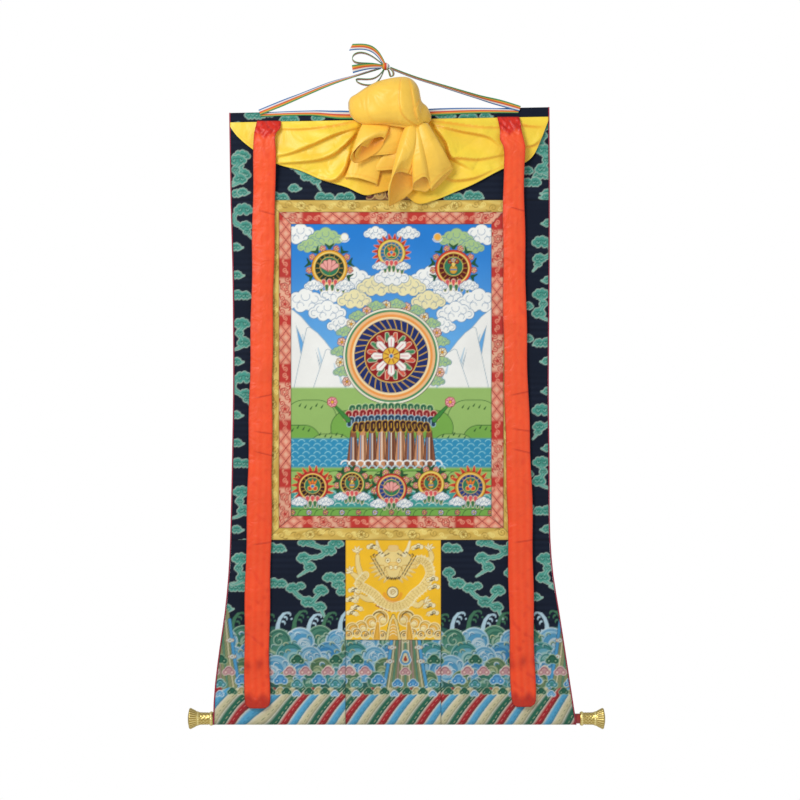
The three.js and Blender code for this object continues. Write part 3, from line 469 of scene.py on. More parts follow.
sea = {
    "foamZ": -1126, "stripesZ": -1247, "hemZ": -1319, "lean": 56, "repeat": 76.8, "weave": 153.6,
    "opensLeft": 28, "deep": "#2a5a52", "haze": "#3c7672", "foam": "#b4d3e2", "darkFoam": "#44775a",
    "seam": "#ddd9c4", "stripeLight": "#efeede", "stripeShade": "#17403f",
    "stripes": (  # the stripe, where its inner line runs and that line's colour
        ("#a8282e", 0.5, "#d98a80"), ("#58a8d0", 0.62, "#2f74a8"), ("#cfc8a2", 0.56, "#4c6f4c"),
        ("#2c6a54", 0.68, "#c9cfa8")),
    "crestStep": 31, "curlStep": 19,
    "firstRed": {"left": -216, "centre": -20, "right": 140},
    "firstWave": {"left": -213, "centre": -84, "right": 136},
    "rocks": {  # middle, top, foot, half width at the top and at the foot
        "left": (-352, -1108, -1244, 40, 60), "centre": (39.8, -1128, -1244, 25, 43),
        "right": (390, -1108, -1244, 40, 62)},
    "pillars": ("#4f9ccc", "#cfc8a2", "#5f9176", "#a98f84", "#cfc8a2", "#5f9176", "#cfc8a2", "#a98f84",
                "#5f9176", "#cfc8a2", "#4f9ccc"),  # the rock's pillars from left to right
    "waves": (  # over one repeat of the weave: x, z, radius, kind, tone, hand
        (82, -1146, 26, "arch", 0, 1), (116, -1150, 22, "spiral", 3, -1), (42, -1152, 28, "arch", 3, 1),
        (0, -1150, 23, "spiral", 0, 1), (146, -1168, 21, "arch", 2, -1), (98, -1178, 26, "arch", 1, -1),
        (22, -1180, 27, "arch", 4, 1), (62, -1184, 23, "spiral", 3, 1), (132, -1196, 24, "arch", 0, 1),
        (-6, -1206, 27, "arch", 3, -1), (84, -1206, 22, "arch", 2, -1), (40, -1210, 22, "spiral", 1, 1),
        (112, -1222, 20, "arch", 4, 1), (16, -1228, 18, "arch", 2, 1), (66, -1230, 18, "arch", 0, -1)),
    "heads": (  # scroll heads over one repeat of the stripes: x, z, size, tone
        (-16, -1188, 16, 5), (-32, -1211, 15, 6), (0, -1211, 15, 6), (27, -1228, 17, 1),
        (-17, -1236, 14, 4), (46, -1208, 13, 7), (26, -1251, 13, 7), (-38, -1251, 12, 5), (7, -1251, 12, 5),
        (-18, -1256, 10, 3)),
}
swirlTones = (  # body, light line, dark line, core
    ("#4f8870", "#b4cfb4", "#1d4d42", "#37735f"), ("#62a3cd", "#d3e6ea", "#1f659c", "#3786c2"),
    ("#768c5e", "#c4cc9e", "#3a5d3c", "#55754b"), ("#93c1da", "#dfecee", "#3a84b5", "#569fcd"),
    ("#438d8b", "#b0d2ca", "#1b5560", "#6eaec4"), ("#2c6852", "#a9c4a0", "#153b32", "#2c6852"),
    ("#bd9096", "#e8d3cd", "#84505a", "#d3aca3"), ("#c6bd8e", "#ece7cd", "#74744a", "#aba678"),
)


def cloud(cloth, x, z, kind, flip):  # flip is its size and, by its sign, the way it faces
    heads, ribbons = cloudShapes[kind]
    size = abs(flip)
    strokes = []
    for hx, hz, wide, tall in heads:
        middle = (x + flip * hx, z + size * hz)
        wide, tall = 1.06 * wide * size, 1.12 * tall * size
        strokes.append((((middle[0] - 0.5 * wide, middle[1]), (middle[0] + 0.5 * wide, middle[1])),
                        0.56 * tall))
        for lx, lz, r in ((-0.72, -0.1, 0.5), (0.74, -0.14, 0.46), (-0.4, 0.42, 0.5), (0.1, 0.56, 0.5),
                          (0.5, 0.32, 0.46), (0.34, -0.52, 0.42), (-0.38, -0.5, 0.44)):
            strokes.append((((middle[0] + lx * wide, middle[1] + lz * tall),), (r * tall,)))
    lines = []
    for line in ribbons:
        bent = smoothLine([(x + flip * rx, z + size * rz) for rx, rz, r in line], 12)
        girth = np.interp(np.linspace(0, len(line) - 1, 13), range(len(line)),
                          [0.7 * size * r for rx, rz, r in line])
        lines.append((bent, girth * (1 + 0.22 * np.sin(np.arange(13) * 2.2))))
    motif(cloth, strokes + lines, brocade["fill"], brocade["rim"], 1.5)
    for line in lines:
        stroke(cloth, line[0], 0.8, brocade["light"], None, 1, 0.7)
    for hx, hz, wide, tall in heads:
        for side, turn in ((-1, 200), (1, -20)):
            cx, cz = x + flip * (hx + side * 0.42 * wide), z + size * (hz + 0.04 * tall)
            reach = 0.52 * tall * size
            stroke(cloth, arcPoints(cx, cz, reach, turn, turn - side * 300, 16, -0.7 * reach), 1.0,
                   brocade["curl"])
            stroke(cloth, arcPoints(cx, cz, reach * 0.66, turn, turn - side * 190, 10, -0.3 * reach), 0.6,
                   brocade["light"])
        stroke(cloth, arcPoints(x + flip * hx, z + size * (hz - 0.1 * tall), 0.5 * tall * size, 50, 130, 8),
               0.7, brocade["curl"])


def swirl(cloth, x, z, radius, tone, hand=1):
    body, light, dark, core = tone
    disc(cloth, x, z, radius, body, light, 1.3)
    stroke(cloth, arcPoints(x, z, radius * 0.84, 90 - hand * 110, 90 + hand * 80, 14), 1.0, dark)
    stroke(cloth, arcPoints(x, z, radius * 0.64, 90 - hand * 60, 90 + hand * 400, 30, -radius * 0.52), 2.1,
           core)
    stroke(cloth, arcPoints(x, z, radius * 0.58, 90, 90 + hand * 400, 26, -radius * 0.5), 0.9, light)
    stroke(cloth, arcPoints(x, z, radius * 0.44, 60, 60 + hand * 330, 20, -radius * 0.36), 0.8, dark)


def arch(cloth, x, z, radius, tone, hand=1):  # a swelling wave banded like a shell
    body, light, dark, core = tone
    disc(cloth, x, z, radius, body, light, 1.2)
    stroke(cloth, arcPoints(x, z, radius * 0.86, 0, 180, 16), 0.8, dark)
    lean = hand * radius * 0.16
    disc(cloth, x + lean, z - 0.12 * radius, radius * 0.68, core, dark, 0.9)
    disc(cloth, x + lean * 1.7, z - 0.2 * radius, radius * 0.5, light, None, 1, 0.75)
    disc(cloth, x + lean * 2.4, z - 0.3 * radius, radius * 0.42, body, dark, 0.8)
    for step in (0.3, 0.52, 0.74):
        stroke(cloth, arcPoints(x + lean * 2.4, z - 0.3 * radius, radius * 0.42 * step, 10, 170, 8), 0.6,
               light)


def scrollHead(cloth, x, z, size, tone):  # a trefoil cloud head with two eyes under one brow
    body, light, dark, core = tone
    strokes = [(((x, z + 0.14 * size),), (0.52 * size,))]
    strokes += [(((x + side * 0.46 * size, z - 0.12 * size),), (0.36 * size,)) for side in (-1, 1)]
    motif(cloth, strokes, body, light, 1.0)
    stroke(cloth, arcPoints(x, z, 0.5 * size, 25, 155, 10), 0.7, dark)
    stroke(cloth, arcPoints(x, z + 0.05 * size, 0.3 * size, 15, 165, 8), 0.6, core)
    for side in (-1, 1):
        disc(cloth, x + side * 0.42 * size, z - 0.12 * size, 0.2 * size, core, dark, 0.7)
        disc(cloth, x + side * 0.42 * size, z - 0.12 * size, 0.08 * size, light)


def crest(cloth, x, z, hexValue, hand):  # a breaking crest: a bent stem, hooked fingers and drops of foam
    stem = [(x - hand * 3, z - 8), (x - hand * 2, z + 6), (x + hand * 2, z + 18), (x + hand * 9, z + 27),
            (x + hand * 17, z + 30)]
    strokes = [(stem, (5.0, 3.8, 3.4, 2.8, 1.2))]
    for lift, out in ((29, 19), (21, 12), (12, 8)):
        strokes.append((arcPoints(x + hand * out, z + lift - 4, 4, 100, 90 - hand * 110, 8),
                        np.linspace(2.2, 1, 8)))
    motif(cloth, strokes, hexValue)
    for dx, dz in ((25, 17), (8, -6), (14, -8)):
        disc(cloth, x + hand * dx, z + dz, 1.9, hexValue)


# the banded rock that stands in the sea: leaning pillars, rings on them and an arch between
def mountain(cloth, x, topZ, footZ, halfTop, halfFoot):
    stroke(cloth, [(x, topZ + 4), (x, footZ)], (halfTop, halfFoot), "#8a936a")
    for i, tone in enumerate(sea["pillars"]):
        lean = (i - 5) / 5
        line = [(x + lean * halfTop, topZ),
                (x + lean * lerp(halfTop, halfFoot, 0.4), lerp(topZ, footZ, 0.5)),
                (x + lean * halfFoot, footZ)]
        outer = i in (0, 10)
        stroke(cloth, line, 2.9 if outer else 1.5, tone, "#2b4f5c" if outer else "#4c5f48", 0.9)
    for step in (0.3, 0.54):
        for side in (-1, 1):
            ringX = x + side * 0.92 * lerp(halfTop, halfFoot, step ** 1.3)
            ringZ = lerp(topZ, footZ, step)
            stroke(cloth, ((ringX - 5, ringZ), (ringX + 5, ringZ)), 2.6, "#e8dcc0", "#9a6a62", 0.8)
            disc(cloth, ringX, ringZ, 4.2, "#cfe0d8", "#7b6a52", 0.8)
            disc(cloth, ringX, ringZ, 1.6, "#a4625c")
    archZ = lerp(topZ, footZ, 0.44)
    stroke(cloth, [(x, archZ - 8), (x, archZ + 3)], (11, 7), "#5b9fca", "#e6efe8", 1.2)
    stroke(cloth, [(x, archZ - 8), (x, archZ + 1)], (7, 4), "#d8cfa8", "#3f6a86", 1.0)
    stroke(cloth, [(x, archZ - 8), (x, archZ - 2)], (4, 1.6), "#a6432e")
    scrollHead(cloth, x, lerp(topZ, footZ, 0.18), 8, swirlTones[7])
    scrollHead(cloth, x, lerp(topZ, footZ, 0.72), 13, swirlTones[6])
    for side in (-1, 1):
        scrollHead(cloth, x + side * 0.36 * halfFoot, footZ + 9, 13, swirlTones[1])
        scrollHead(cloth, x + side * 1.04 * halfFoot, footZ - 4, 12, swirlTones[1])


def repeats(low, high, start, step):  # the repeats of a weave between two places
    return range(math.floor((low - start) / step) - 1, math.ceil((high - start) / step) + 1)


def paintStripes(cloth, side):  # the slanting rainbow of deep water along the hem, edged in pale silk
    x, z = cloth["x"], cloth["z"]
    rise = np.clip((z - sea["hemZ"]) / (sea["stripesZ"] - sea["hemZ"]), -0.6, 1.2)
    lean = sea["lean"] * (1 - 0.25 * smoothstep(np.abs(x), 300, 380))
    shift = lean * (0.72 * rise + 0.28 * rise * rise * np.sign(rise))
    shift = shift - sea["opensLeft"] * smoothstep(-x, 212, 300)  # the weave opens out towards the left edge
    place = np.mod((x - shift - sea["firstRed"][side]) / sea["repeat"], 1) * 4
    edge = np.abs(np.mod(place + 0.5, 1) - 0.5) * sea["repeat"] / 4
    top = sea["stripesZ"] + 5 * np.abs(np.sin(4 * pi * (x - shift - sea["firstRed"][side]) / sea["repeat"]))
    inStripes = np.clip((top - z) / cloth["soft"], 0, 1)
    for i, (hexValue, lineAt, lineHex) in enumerate(sea["stripes"]):
        chosen = np.flatnonzero((inStripes > 0) & (np.floor(place) == i))
        layOver(cloth, chosen, inStripes[chosen], hexValue)
        across = place[chosen] - i
        layOver(cloth, chosen, 0.4 * inStripes[chosen] * smoothstep(0.34 - across, 0, 0.3),
                sea["stripeLight"])
        layOver(cloth, chosen, 0.5 * inStripes[chosen] * smoothstep(across, 0.55, 1), sea["stripeShade"])
        inner = np.clip(1 - np.abs(across - lineAt) * 14, 0, 1)
        dashed = smoothstep(np.sin(z[chosen] / 1.5 + 3 * i + np.sin(x[chosen] / 9)), -0.5, 0.2)
        layOver(cloth, chosen, 0.8 * inStripes[chosen] * inner * dashed, lineHex)
    near = np.flatnonzero((inStripes > 0) & (edge < 2.5))
    layOver(cloth, near, inStripes[near] * np.clip(1.2 - edge[near] / 1.2, 0, 0.7), sea["seam"])


def paintSea(cloth, side):
    low, high = cloth["x"].min() - 30, cloth["x"].max() + 30
    waterline = sea["foamZ"] + 5 * np.sin(cloth["x"] / 13)
    wash(cloth, smoothstep(waterline - cloth["z"], -2, 2), sea["deep"])
    start = sea["firstWave"][side]
    step = sea["crestStep"]
    for i in repeats(low, high, start, step):
        hand = -1 if side == "right" and start + step * i > 280 else 1
        crest(cloth, start + step * i + 2 * math.sin(i * 1.7), sea["foamZ"] + 3 + 4 * math.sin(i * 2.1),
              sea["foam"] if i % 2 == 0 else sea["darkFoam"], hand)
    for k in repeats(low, high, start, sea["weave"]):
        for x, z, radius, kind, tone, hand in sea["waves"]:
            draw = swirl if kind == "spiral" else arch
            draw(cloth, start + x + sea["weave"] * k, z, radius, swirlTones[tone], hand)
    step = sea["curlStep"]
    for k in repeats(low, high, start, step):
        for row in range(6):
            x = start + step * (k + 0.5 * (row % 2)) + 3 * math.sin(k * 2.3 + row)
            z = -1140 - 18 * row + 4 * math.sin(k * 1.3)
            tone = swirlTones[(k * 3 + row * 2) % 5]
            stroke(cloth, arcPoints(x, z, 6.5, 20, 200, 10, -4.5), 0.9, tone[1])
            stroke(cloth, arcPoints(x + 1.5, z - 1.5, 5.5, 20, 190, 8, -3.5), 0.7, tone[2])
    wash(cloth, 0.2 * smoothstep(waterline - cloth["z"], -6, 20), sea["haze"])
    mountain(cloth, *sea["rocks"][side])
    paintStripes(cloth, side)
    start = sea["firstRed"][side] + sea["lean"]
    for k in repeats(low, high, start, sea["repeat"]):
        for x, z, size, tone in sea["heads"]:
            away = abs(start + x + sea["repeat"] * k - sea["rocks"]["centre"][0]) > 44 or z < -1240
            if side != "centre" or away:
                scrollHead(cloth, start + x + sea["repeat"] * k, z, size, swirlTones[tone])


def paintBrocade(x, z, part):
    cloth = newPattern(x, z, brocade["ground"])
    weft = 0.06 * (0.5 + 0.5 * np.sin(z / 1.9)) * (0.5 + 0.5 * np.sin(z / 23 + np.sin(x / 60)))
    wash(cloth, weft, brocade["weft"])
    for k in range(-1, 3) if part in ("top", "side") else ():
        for cx, cz, kind, flip in stripColumns:
            cloud(cloth, cx, cz - brocade["cloudRepeat"] * k, kind, flip)
    if part == "top":
        for placed in topClouds:
            cloud(cloth, *placed)
        plainEnd = smoothstep(x, 264, 266) * smoothstep(z, -102, -100)
        wash(cloth, plainEnd, brocade["ground"])
    if part in skirtClouds:
        for placed in skirtClouds[part]:
            cloud(cloth, *placed)
        paintSea(cloth, part)
    return cloth["dye"]


def topPanelPlace(u, v, side):
    sleeve = brocade["sleeve"]
    height = scroll["topEdgeZ"] - scroll["frameTopZ"]
    middleX = lerp(clothLeft(-134), clothRight(-134), u)
    down = v * height
    sewn = topEdge(middleX) - np.minimum(down, sleeve)
    z = np.where(down <= sleeve, sewn,
                 lerp(sewn, scroll["frameTopZ"] + halfGap,
                      np.clip((down - sleeve) / (height - sleeve), 0, 1)))
    x = lerp(clothLeft(z), clothRight(z), u)
    front = np.interp(down, (0, 2.5), (2.5, 0))
    back = np.interp(down, (0, 2.5, 14, 17.5, 19), (9.5, 12, 12, 3.5, 1.5))
    return np.stack([x, frontY + (back if side else front) + ripple(x, z), z], axis=1)


def upright(x):  # a plumb line at x
    return lambda z: x + 0 * z


# a flat piece of the hanging cloth between two side lines and two level lines
def flatPlace(left, right, top, bottom, thickness=1.5, setBack=0.0):
    def place(u, v, side):
        z = lerp(top - halfGap, bottom + halfGap, v)
        x = lerp(left(z) + halfGap, right(z) - halfGap, u)
        return np.stack([x, frontY + setBack + ripple(x, z) + side * thickness, z], axis=1)
    return place


def skirtDrop(topZ):  # lengths along the skirt: straight down, round the rod, and back up to the hem's seam
    radius = scroll["hemRadius"] - scroll["clothThickness"] / 2
    straight = topZ - scroll["rodZ"]
    arc = radius * math.radians(scroll["hemWrap"])
    angle = pi + math.radians(scroll["hemWrap"])
    endY, endZ = scroll["rodY"] + radius * math.cos(angle), scroll["rodZ"] + radius * math.sin(angle)
    seamY = frontY + scroll["clothThickness"] * 2 + 0.3
    seamZ = scroll["rodZ"] + scroll["hemSeamRise"]
    return radius, straight, arc, (endY, endZ), (seamY, seamZ), math.hypot(seamY - endY, seamZ - endZ)


def skirtPlace(topZ, left, right, thickness=1.5):
    radius, straight, arc, end, seam, rise = skirtDrop(topZ)

    def place(u, v, side):
        down = v * (straight + arc + rise)
        angle = pi + np.clip(down - straight, 0, arc) / radius
        normalY, normalZ = np.cos(angle), np.sin(angle)
        back = np.clip((down - straight - arc) / rise, 0, 1)
        y = np.where(down <= straight + arc, scroll["rodY"] + radius * normalY, lerp(end[0], seam[0], back))
        hang = np.where(down <= straight, topZ - down, scroll["rodZ"] + radius * normalZ)
        z = np.where(down <= straight + arc, hang, lerp(end[1], seam[1], back))
        out = thickness * (0.5 - side)
        x = lerp(left(z), right(z), u)
        y = y + np.where(down <= straight, ripple(x, z), 0) + out * normalY
        return np.stack([x, y, z + out * normalZ], axis=1)

    def flat(u, v):
        points = place(u, v, 0)
        return points[:, 0], topZ - v * (straight + arc + rise)
    return place, flat, straight + arc + rise


def makeBrocade():
    woven = clothMaterial("silkBrocade", brocade["threads"])
    step = scroll["threadStep"]
    hung = {"held": "hung", "rests_on": ["rod"]}

    def panel(name, part, width, height, place, flatOf=None):
        dyedAndShadedCloth(name, woven, "brocade", round(width / step), round(height / step), place,
                  lambda x, z: paintBrocade(x, z, part), brocade["reverse"], flatOf,
                  flat=(width / 1000, height / 1000), **hung)
    left, right = clothLeft(-600), clothRight(-600)
    sideHeight = scroll["frameTopZ"] - frameBottomZ
    panel("brocade_top", "top", right - left, brocade["topPanelHeight"], topPanelPlace)
    panel("brocade_side_left", "side", goldLeftX - left, sideHeight, flatPlace(
        lambda z: clothLeft(z) - halfGap, upright(goldLeftX), scroll["frameTopZ"], frameBottomZ))
    panel("brocade_side_right", "side", right - goldRightX, sideHeight, flatPlace(
        upright(goldRightX), lambda z: clothRight(z) + halfGap, scroll["frameTopZ"], frameBottomZ))
    doorLeft, doorRight = scroll["doorLeftX"], scroll["doorRightX"]
    leftWidth, centreWidth, rightWidth = brocade["skirtWidths"]
    skirts = {
        "left": (frameBottomZ - halfGap, clothLeft, upright(doorLeft - halfGap), leftWidth),
        "centre": (frameBottomZ - halfGap - scroll["doorHeight"], upright(doorLeft + halfGap),
                   upright(doorRight - halfGap), centreWidth),
        "right": (frameBottomZ - halfGap, upright(doorRight + halfGap), clothRight, rightWidth),
    }
    for side, (topZ, leftLine, rightLine, width) in skirts.items():
        place, flatOf, length = skirtPlace(topZ, leftLine, rightLine)
        panel(f"brocade_skirt_{side}", side, width, length, place, flatOf)
    print("brocade done")


# the picture, its two silk bands and the two patches
bands = {  # figured silk: a soft sheen over a flat, close weave
    "red": "#c5271b", "gold": "#e0b84e", "reverse": "#8d8378", "salmon": "#ee9277", "pale": "#f4bd9d",
    "darkRed": "#9c1512", "goldLight": "#f6df7e", "goldDark": "#a98428", "goldGreen": "#b3a04a",
    "redRepeat": 210, "redStart": 171, "redStep": 57, "goldRepeat": 34,
    "threads": {"roughness": 0.5, "sheen": 0.2, "specular": 0.4, "thread": 1.1, "threadShade": 0.14,
                "weaveBump": 0.45, "patchSize": 45, "unevenness": 0.08},
}
painting = {  # cotton sized with chalk and glue, painted in distemper: dry and even
    "ground": "#6f9fc4", "reverse": "#cdbf9f", "wheelZ": -580, "wheelReach": 84, "lotusZ": -694,
    "top": "#1f7fd6", "low": "#6db3ea", "white": "#f4f6f2", "outline": "#4d7ea8", "cream": "#efe6b4",
    "green": "#a9c98a", "hill": "#78ad4c", "far": "#98bd6a", "edge": "#2d5a2c", "lake": "#2f8fb8",
    "lakeLight": "#8fd0dd", "rock": "#8b5438", "rockLight": "#c98d62", "rockDark": "#4c2a20",
    "gilt": "#f2d26a", "maroon": "#5e1013", "crimson": "#8c1c22", "pollen": "#f2c53a",
    "canvas": {"roughness": 0.72, "sheen": 0.05, "specular": 0.25, "thread": 1.0, "threadShade": 0.06,
               "weaveBump": 0.3, "patchSize": 90, "unevenness": 0.05},
}
patches = {  # yellow satin and tan brocade, woven like the bands
    "dragonGround": "#ffc60c", "crownGround": "#8a5f2a", "light": "#f6db8c", "line": "#b98a24",
    "shade": "#efb437", "dark": "#54401c", "cream": "#fbeebb",
    "dragonWidth": 191, "crownWidth": 101.5, "crownHeight": 64,
}


# one side of a band: a strip with mitred ends round a rectangle in the middle of the scroll
def bandPlace(side, innerWidth, innerHeight):
    width, gap = scroll["bandWidth"], scroll["seamGap"]
    middleZ = scroll["frameTopZ"] - 2 * width - scroll["pictureHeight"] / 2
    level = side in ("top", "bottom")
    sign = 1 if side in ("top", "right") else -1
    halfLength = (innerWidth if level else innerHeight) / 2
    inner = (innerHeight if level else innerWidth) / 2

    def flat(u, v):
        outward, length = (v, u) if level else (u, v)
        out = lerp(gap / 2, width - gap / 2, outward)
        reach = halfLength + out - gap * math.sqrt(0.5)
        return lerp(-reach, reach, length), out

    def place(u, v, face):
        along, out = flat(u, v)
        x = scroll["centreX"] + (along if level else sign * (inner + out))
        z = middleZ + (sign * (inner + out) if level else along)
        return np.stack([x, frontY + ripple(x, z) + face * scroll["clothThickness"], z], axis=1)
    return place, flat, level, 2 * halfLength


def wisp(cloth, x, z, reach, hand, hexValue, radius=1.0):
    stroke(cloth, arcPoints(x, z, reach * 0.9, 200, 200 + hand * 430, 22, -reach * 0.7), radius, hexValue)
    leaf = arcPoints(x + hand * reach, z, reach * 0.8, 180 - hand * 30, 180 - hand * 120, 8)
    stroke(cloth, leaf, np.linspace(radius, radius * 2, 8), hexValue)


def blossom(cloth, x, z, reach, petals, petalHex, rimHex, heartHex, turn=0.0):
    angles = np.arange(petals) * 2 * pi / petals + turn
    strokes = [((polar(x, z, 0.55 * reach, a),), (reach * 0.42,)) for a in angles]
    motif(cloth, strokes, petalHex, rimHex, 1.2)
    for a in angles:
        line = [polar(x, z, reach * s, a) for s in (0.35, 0.8)]
        stroke(cloth, line, 0.6, rimHex)
    disc(cloth, x, z, reach * 0.26, heartHex, rimHex, 0.8)


# red silk with woven salmon grounds: diamond lattice, clouds and flowers, parted by plain red
def paintRedBand(along, out, seed):
    cloth = newPattern(along, out, bands["red"], 1.4)
    repeat, shift = bands["redRepeat"], bands["redStart"] + bands["redStep"] * seed
    part = np.mod(along + shift, repeat)
    lattice = smoothstep(part, 28, 34) * (1 - smoothstep(part, 104, 110))
    crossed = np.minimum(np.abs(np.mod(along / 26 + out / 20.6, 1) - 0.5),
                         np.abs(np.mod(along / 26 - out / 20.6, 1) - 0.5))
    wash(cloth, lattice * 0.92, bands["salmon"])
    wash(cloth, lattice * np.clip((crossed - 0.2) / 0.16, 0, 0.8), bands["pale"])
    wash(cloth, lattice * np.clip(1.25 - crossed / 0.055, 0, 0.9), bands["darkRed"])
    flowered = smoothstep(part, 124, 134) * (1 - smoothstep(part, 198, 206))
    wash(cloth, flowered * 0.85, bands["pale"])
    for i in repeats(along.min(), along.max(), -bands["redStart"], repeat):
        start = repeat * i - shift
        for step in range(7):
            x = start + 122 + 13 * step
            wisp(cloth, x, 7 + 11 * (step % 2), 6.5, 1 if step % 2 else -1, bands["red"], 0.9)
        blossom(cloth, start + 150, 12, 8.5, 5, bands["salmon"], bands["darkRed"], bands["red"], i)
        blossom(cloth, start + 184, 13, 8, 6, bands["salmon"], bands["darkRed"], bands["pale"], i)
        for hand in (-1, 1):  # two scrolls back to back on each plain red part
            wisp(cloth, start + 14 + 6 * hand, 12, 5.5, hand, bands["salmon"], 1.0)
            wisp(cloth, start + 116 + 5 * hand, 12, 5, hand, bands["salmon"], 0.9)
    return cloth["dye"]


# gold brocade: a watered ground with faint scrolls, flowers and bright lines
def paintGoldBand(along, out, seed):
    cloth = newPattern(along, out, bands["gold"], 1.4)
    watered = 0.5 + 0.5 * np.sin(along / 17 + 2.4 * np.sin(out / 5 + along / 61 + seed))
    wash(cloth, 0.5 * watered ** 2, bands["goldLight"])
    wash(cloth, 0.3 * (1 - watered) ** 2, bands["goldGreen"])
    repeat = bands["goldRepeat"]
    for i in range(math.floor(along.min() / repeat), math.ceil(along.max() / repeat)):
        x = repeat * i + 9 * seed
        wisp(cloth, x, 12 + 5 * math.sin(i * 1.7), 8.5, 1 if i % 2 else -1, bands["goldDark"], 0.7)
        wisp(cloth, x + 15, 11 - 4 * math.sin(i * 2.3), 6, -1 if i % 2 else 1, bands["goldLight"], 1.0)
        if i % 3 == 0:
            blossom(cloth, x + 24, 13, 8.5, 6, bands["goldLight"], bands["goldDark"],
                    bands["goldDark"], i)
    return cloth["dye"]


def paintCrownPatch(x, z):
    cloth = newPattern(x, z, patches["crownGround"], 1.6)
    for i in range(5):
        for k in range(3):
            tone = ("#5e2216", "#c09a4e", "#6f3a1c")[(i + 2 * k) % 3]
            swirl(cloth, -32 + 21 * i + 8 * (k % 2), -256 + 20 * k, 10, (tone, "#d9bd74", "#3d140d", tone),
                  1)
    return cloth["dye"]


def claws(cloth, x, z, aim, tone, lineHex):  # a paw with four hooked nails
    disc(cloth, x, z, 4.2, tone, lineHex, 0.7)
    for turn in (-66, -22, 22, 66):
        angle = math.radians(aim + turn)
        tip = polar(x, z, 11, angle)
        stroke(cloth, [(x, z), polar(x, z, 7, angle + 0.2), tip], (2.0, 1.8, 0.5), tone, lineHex, 0.6)


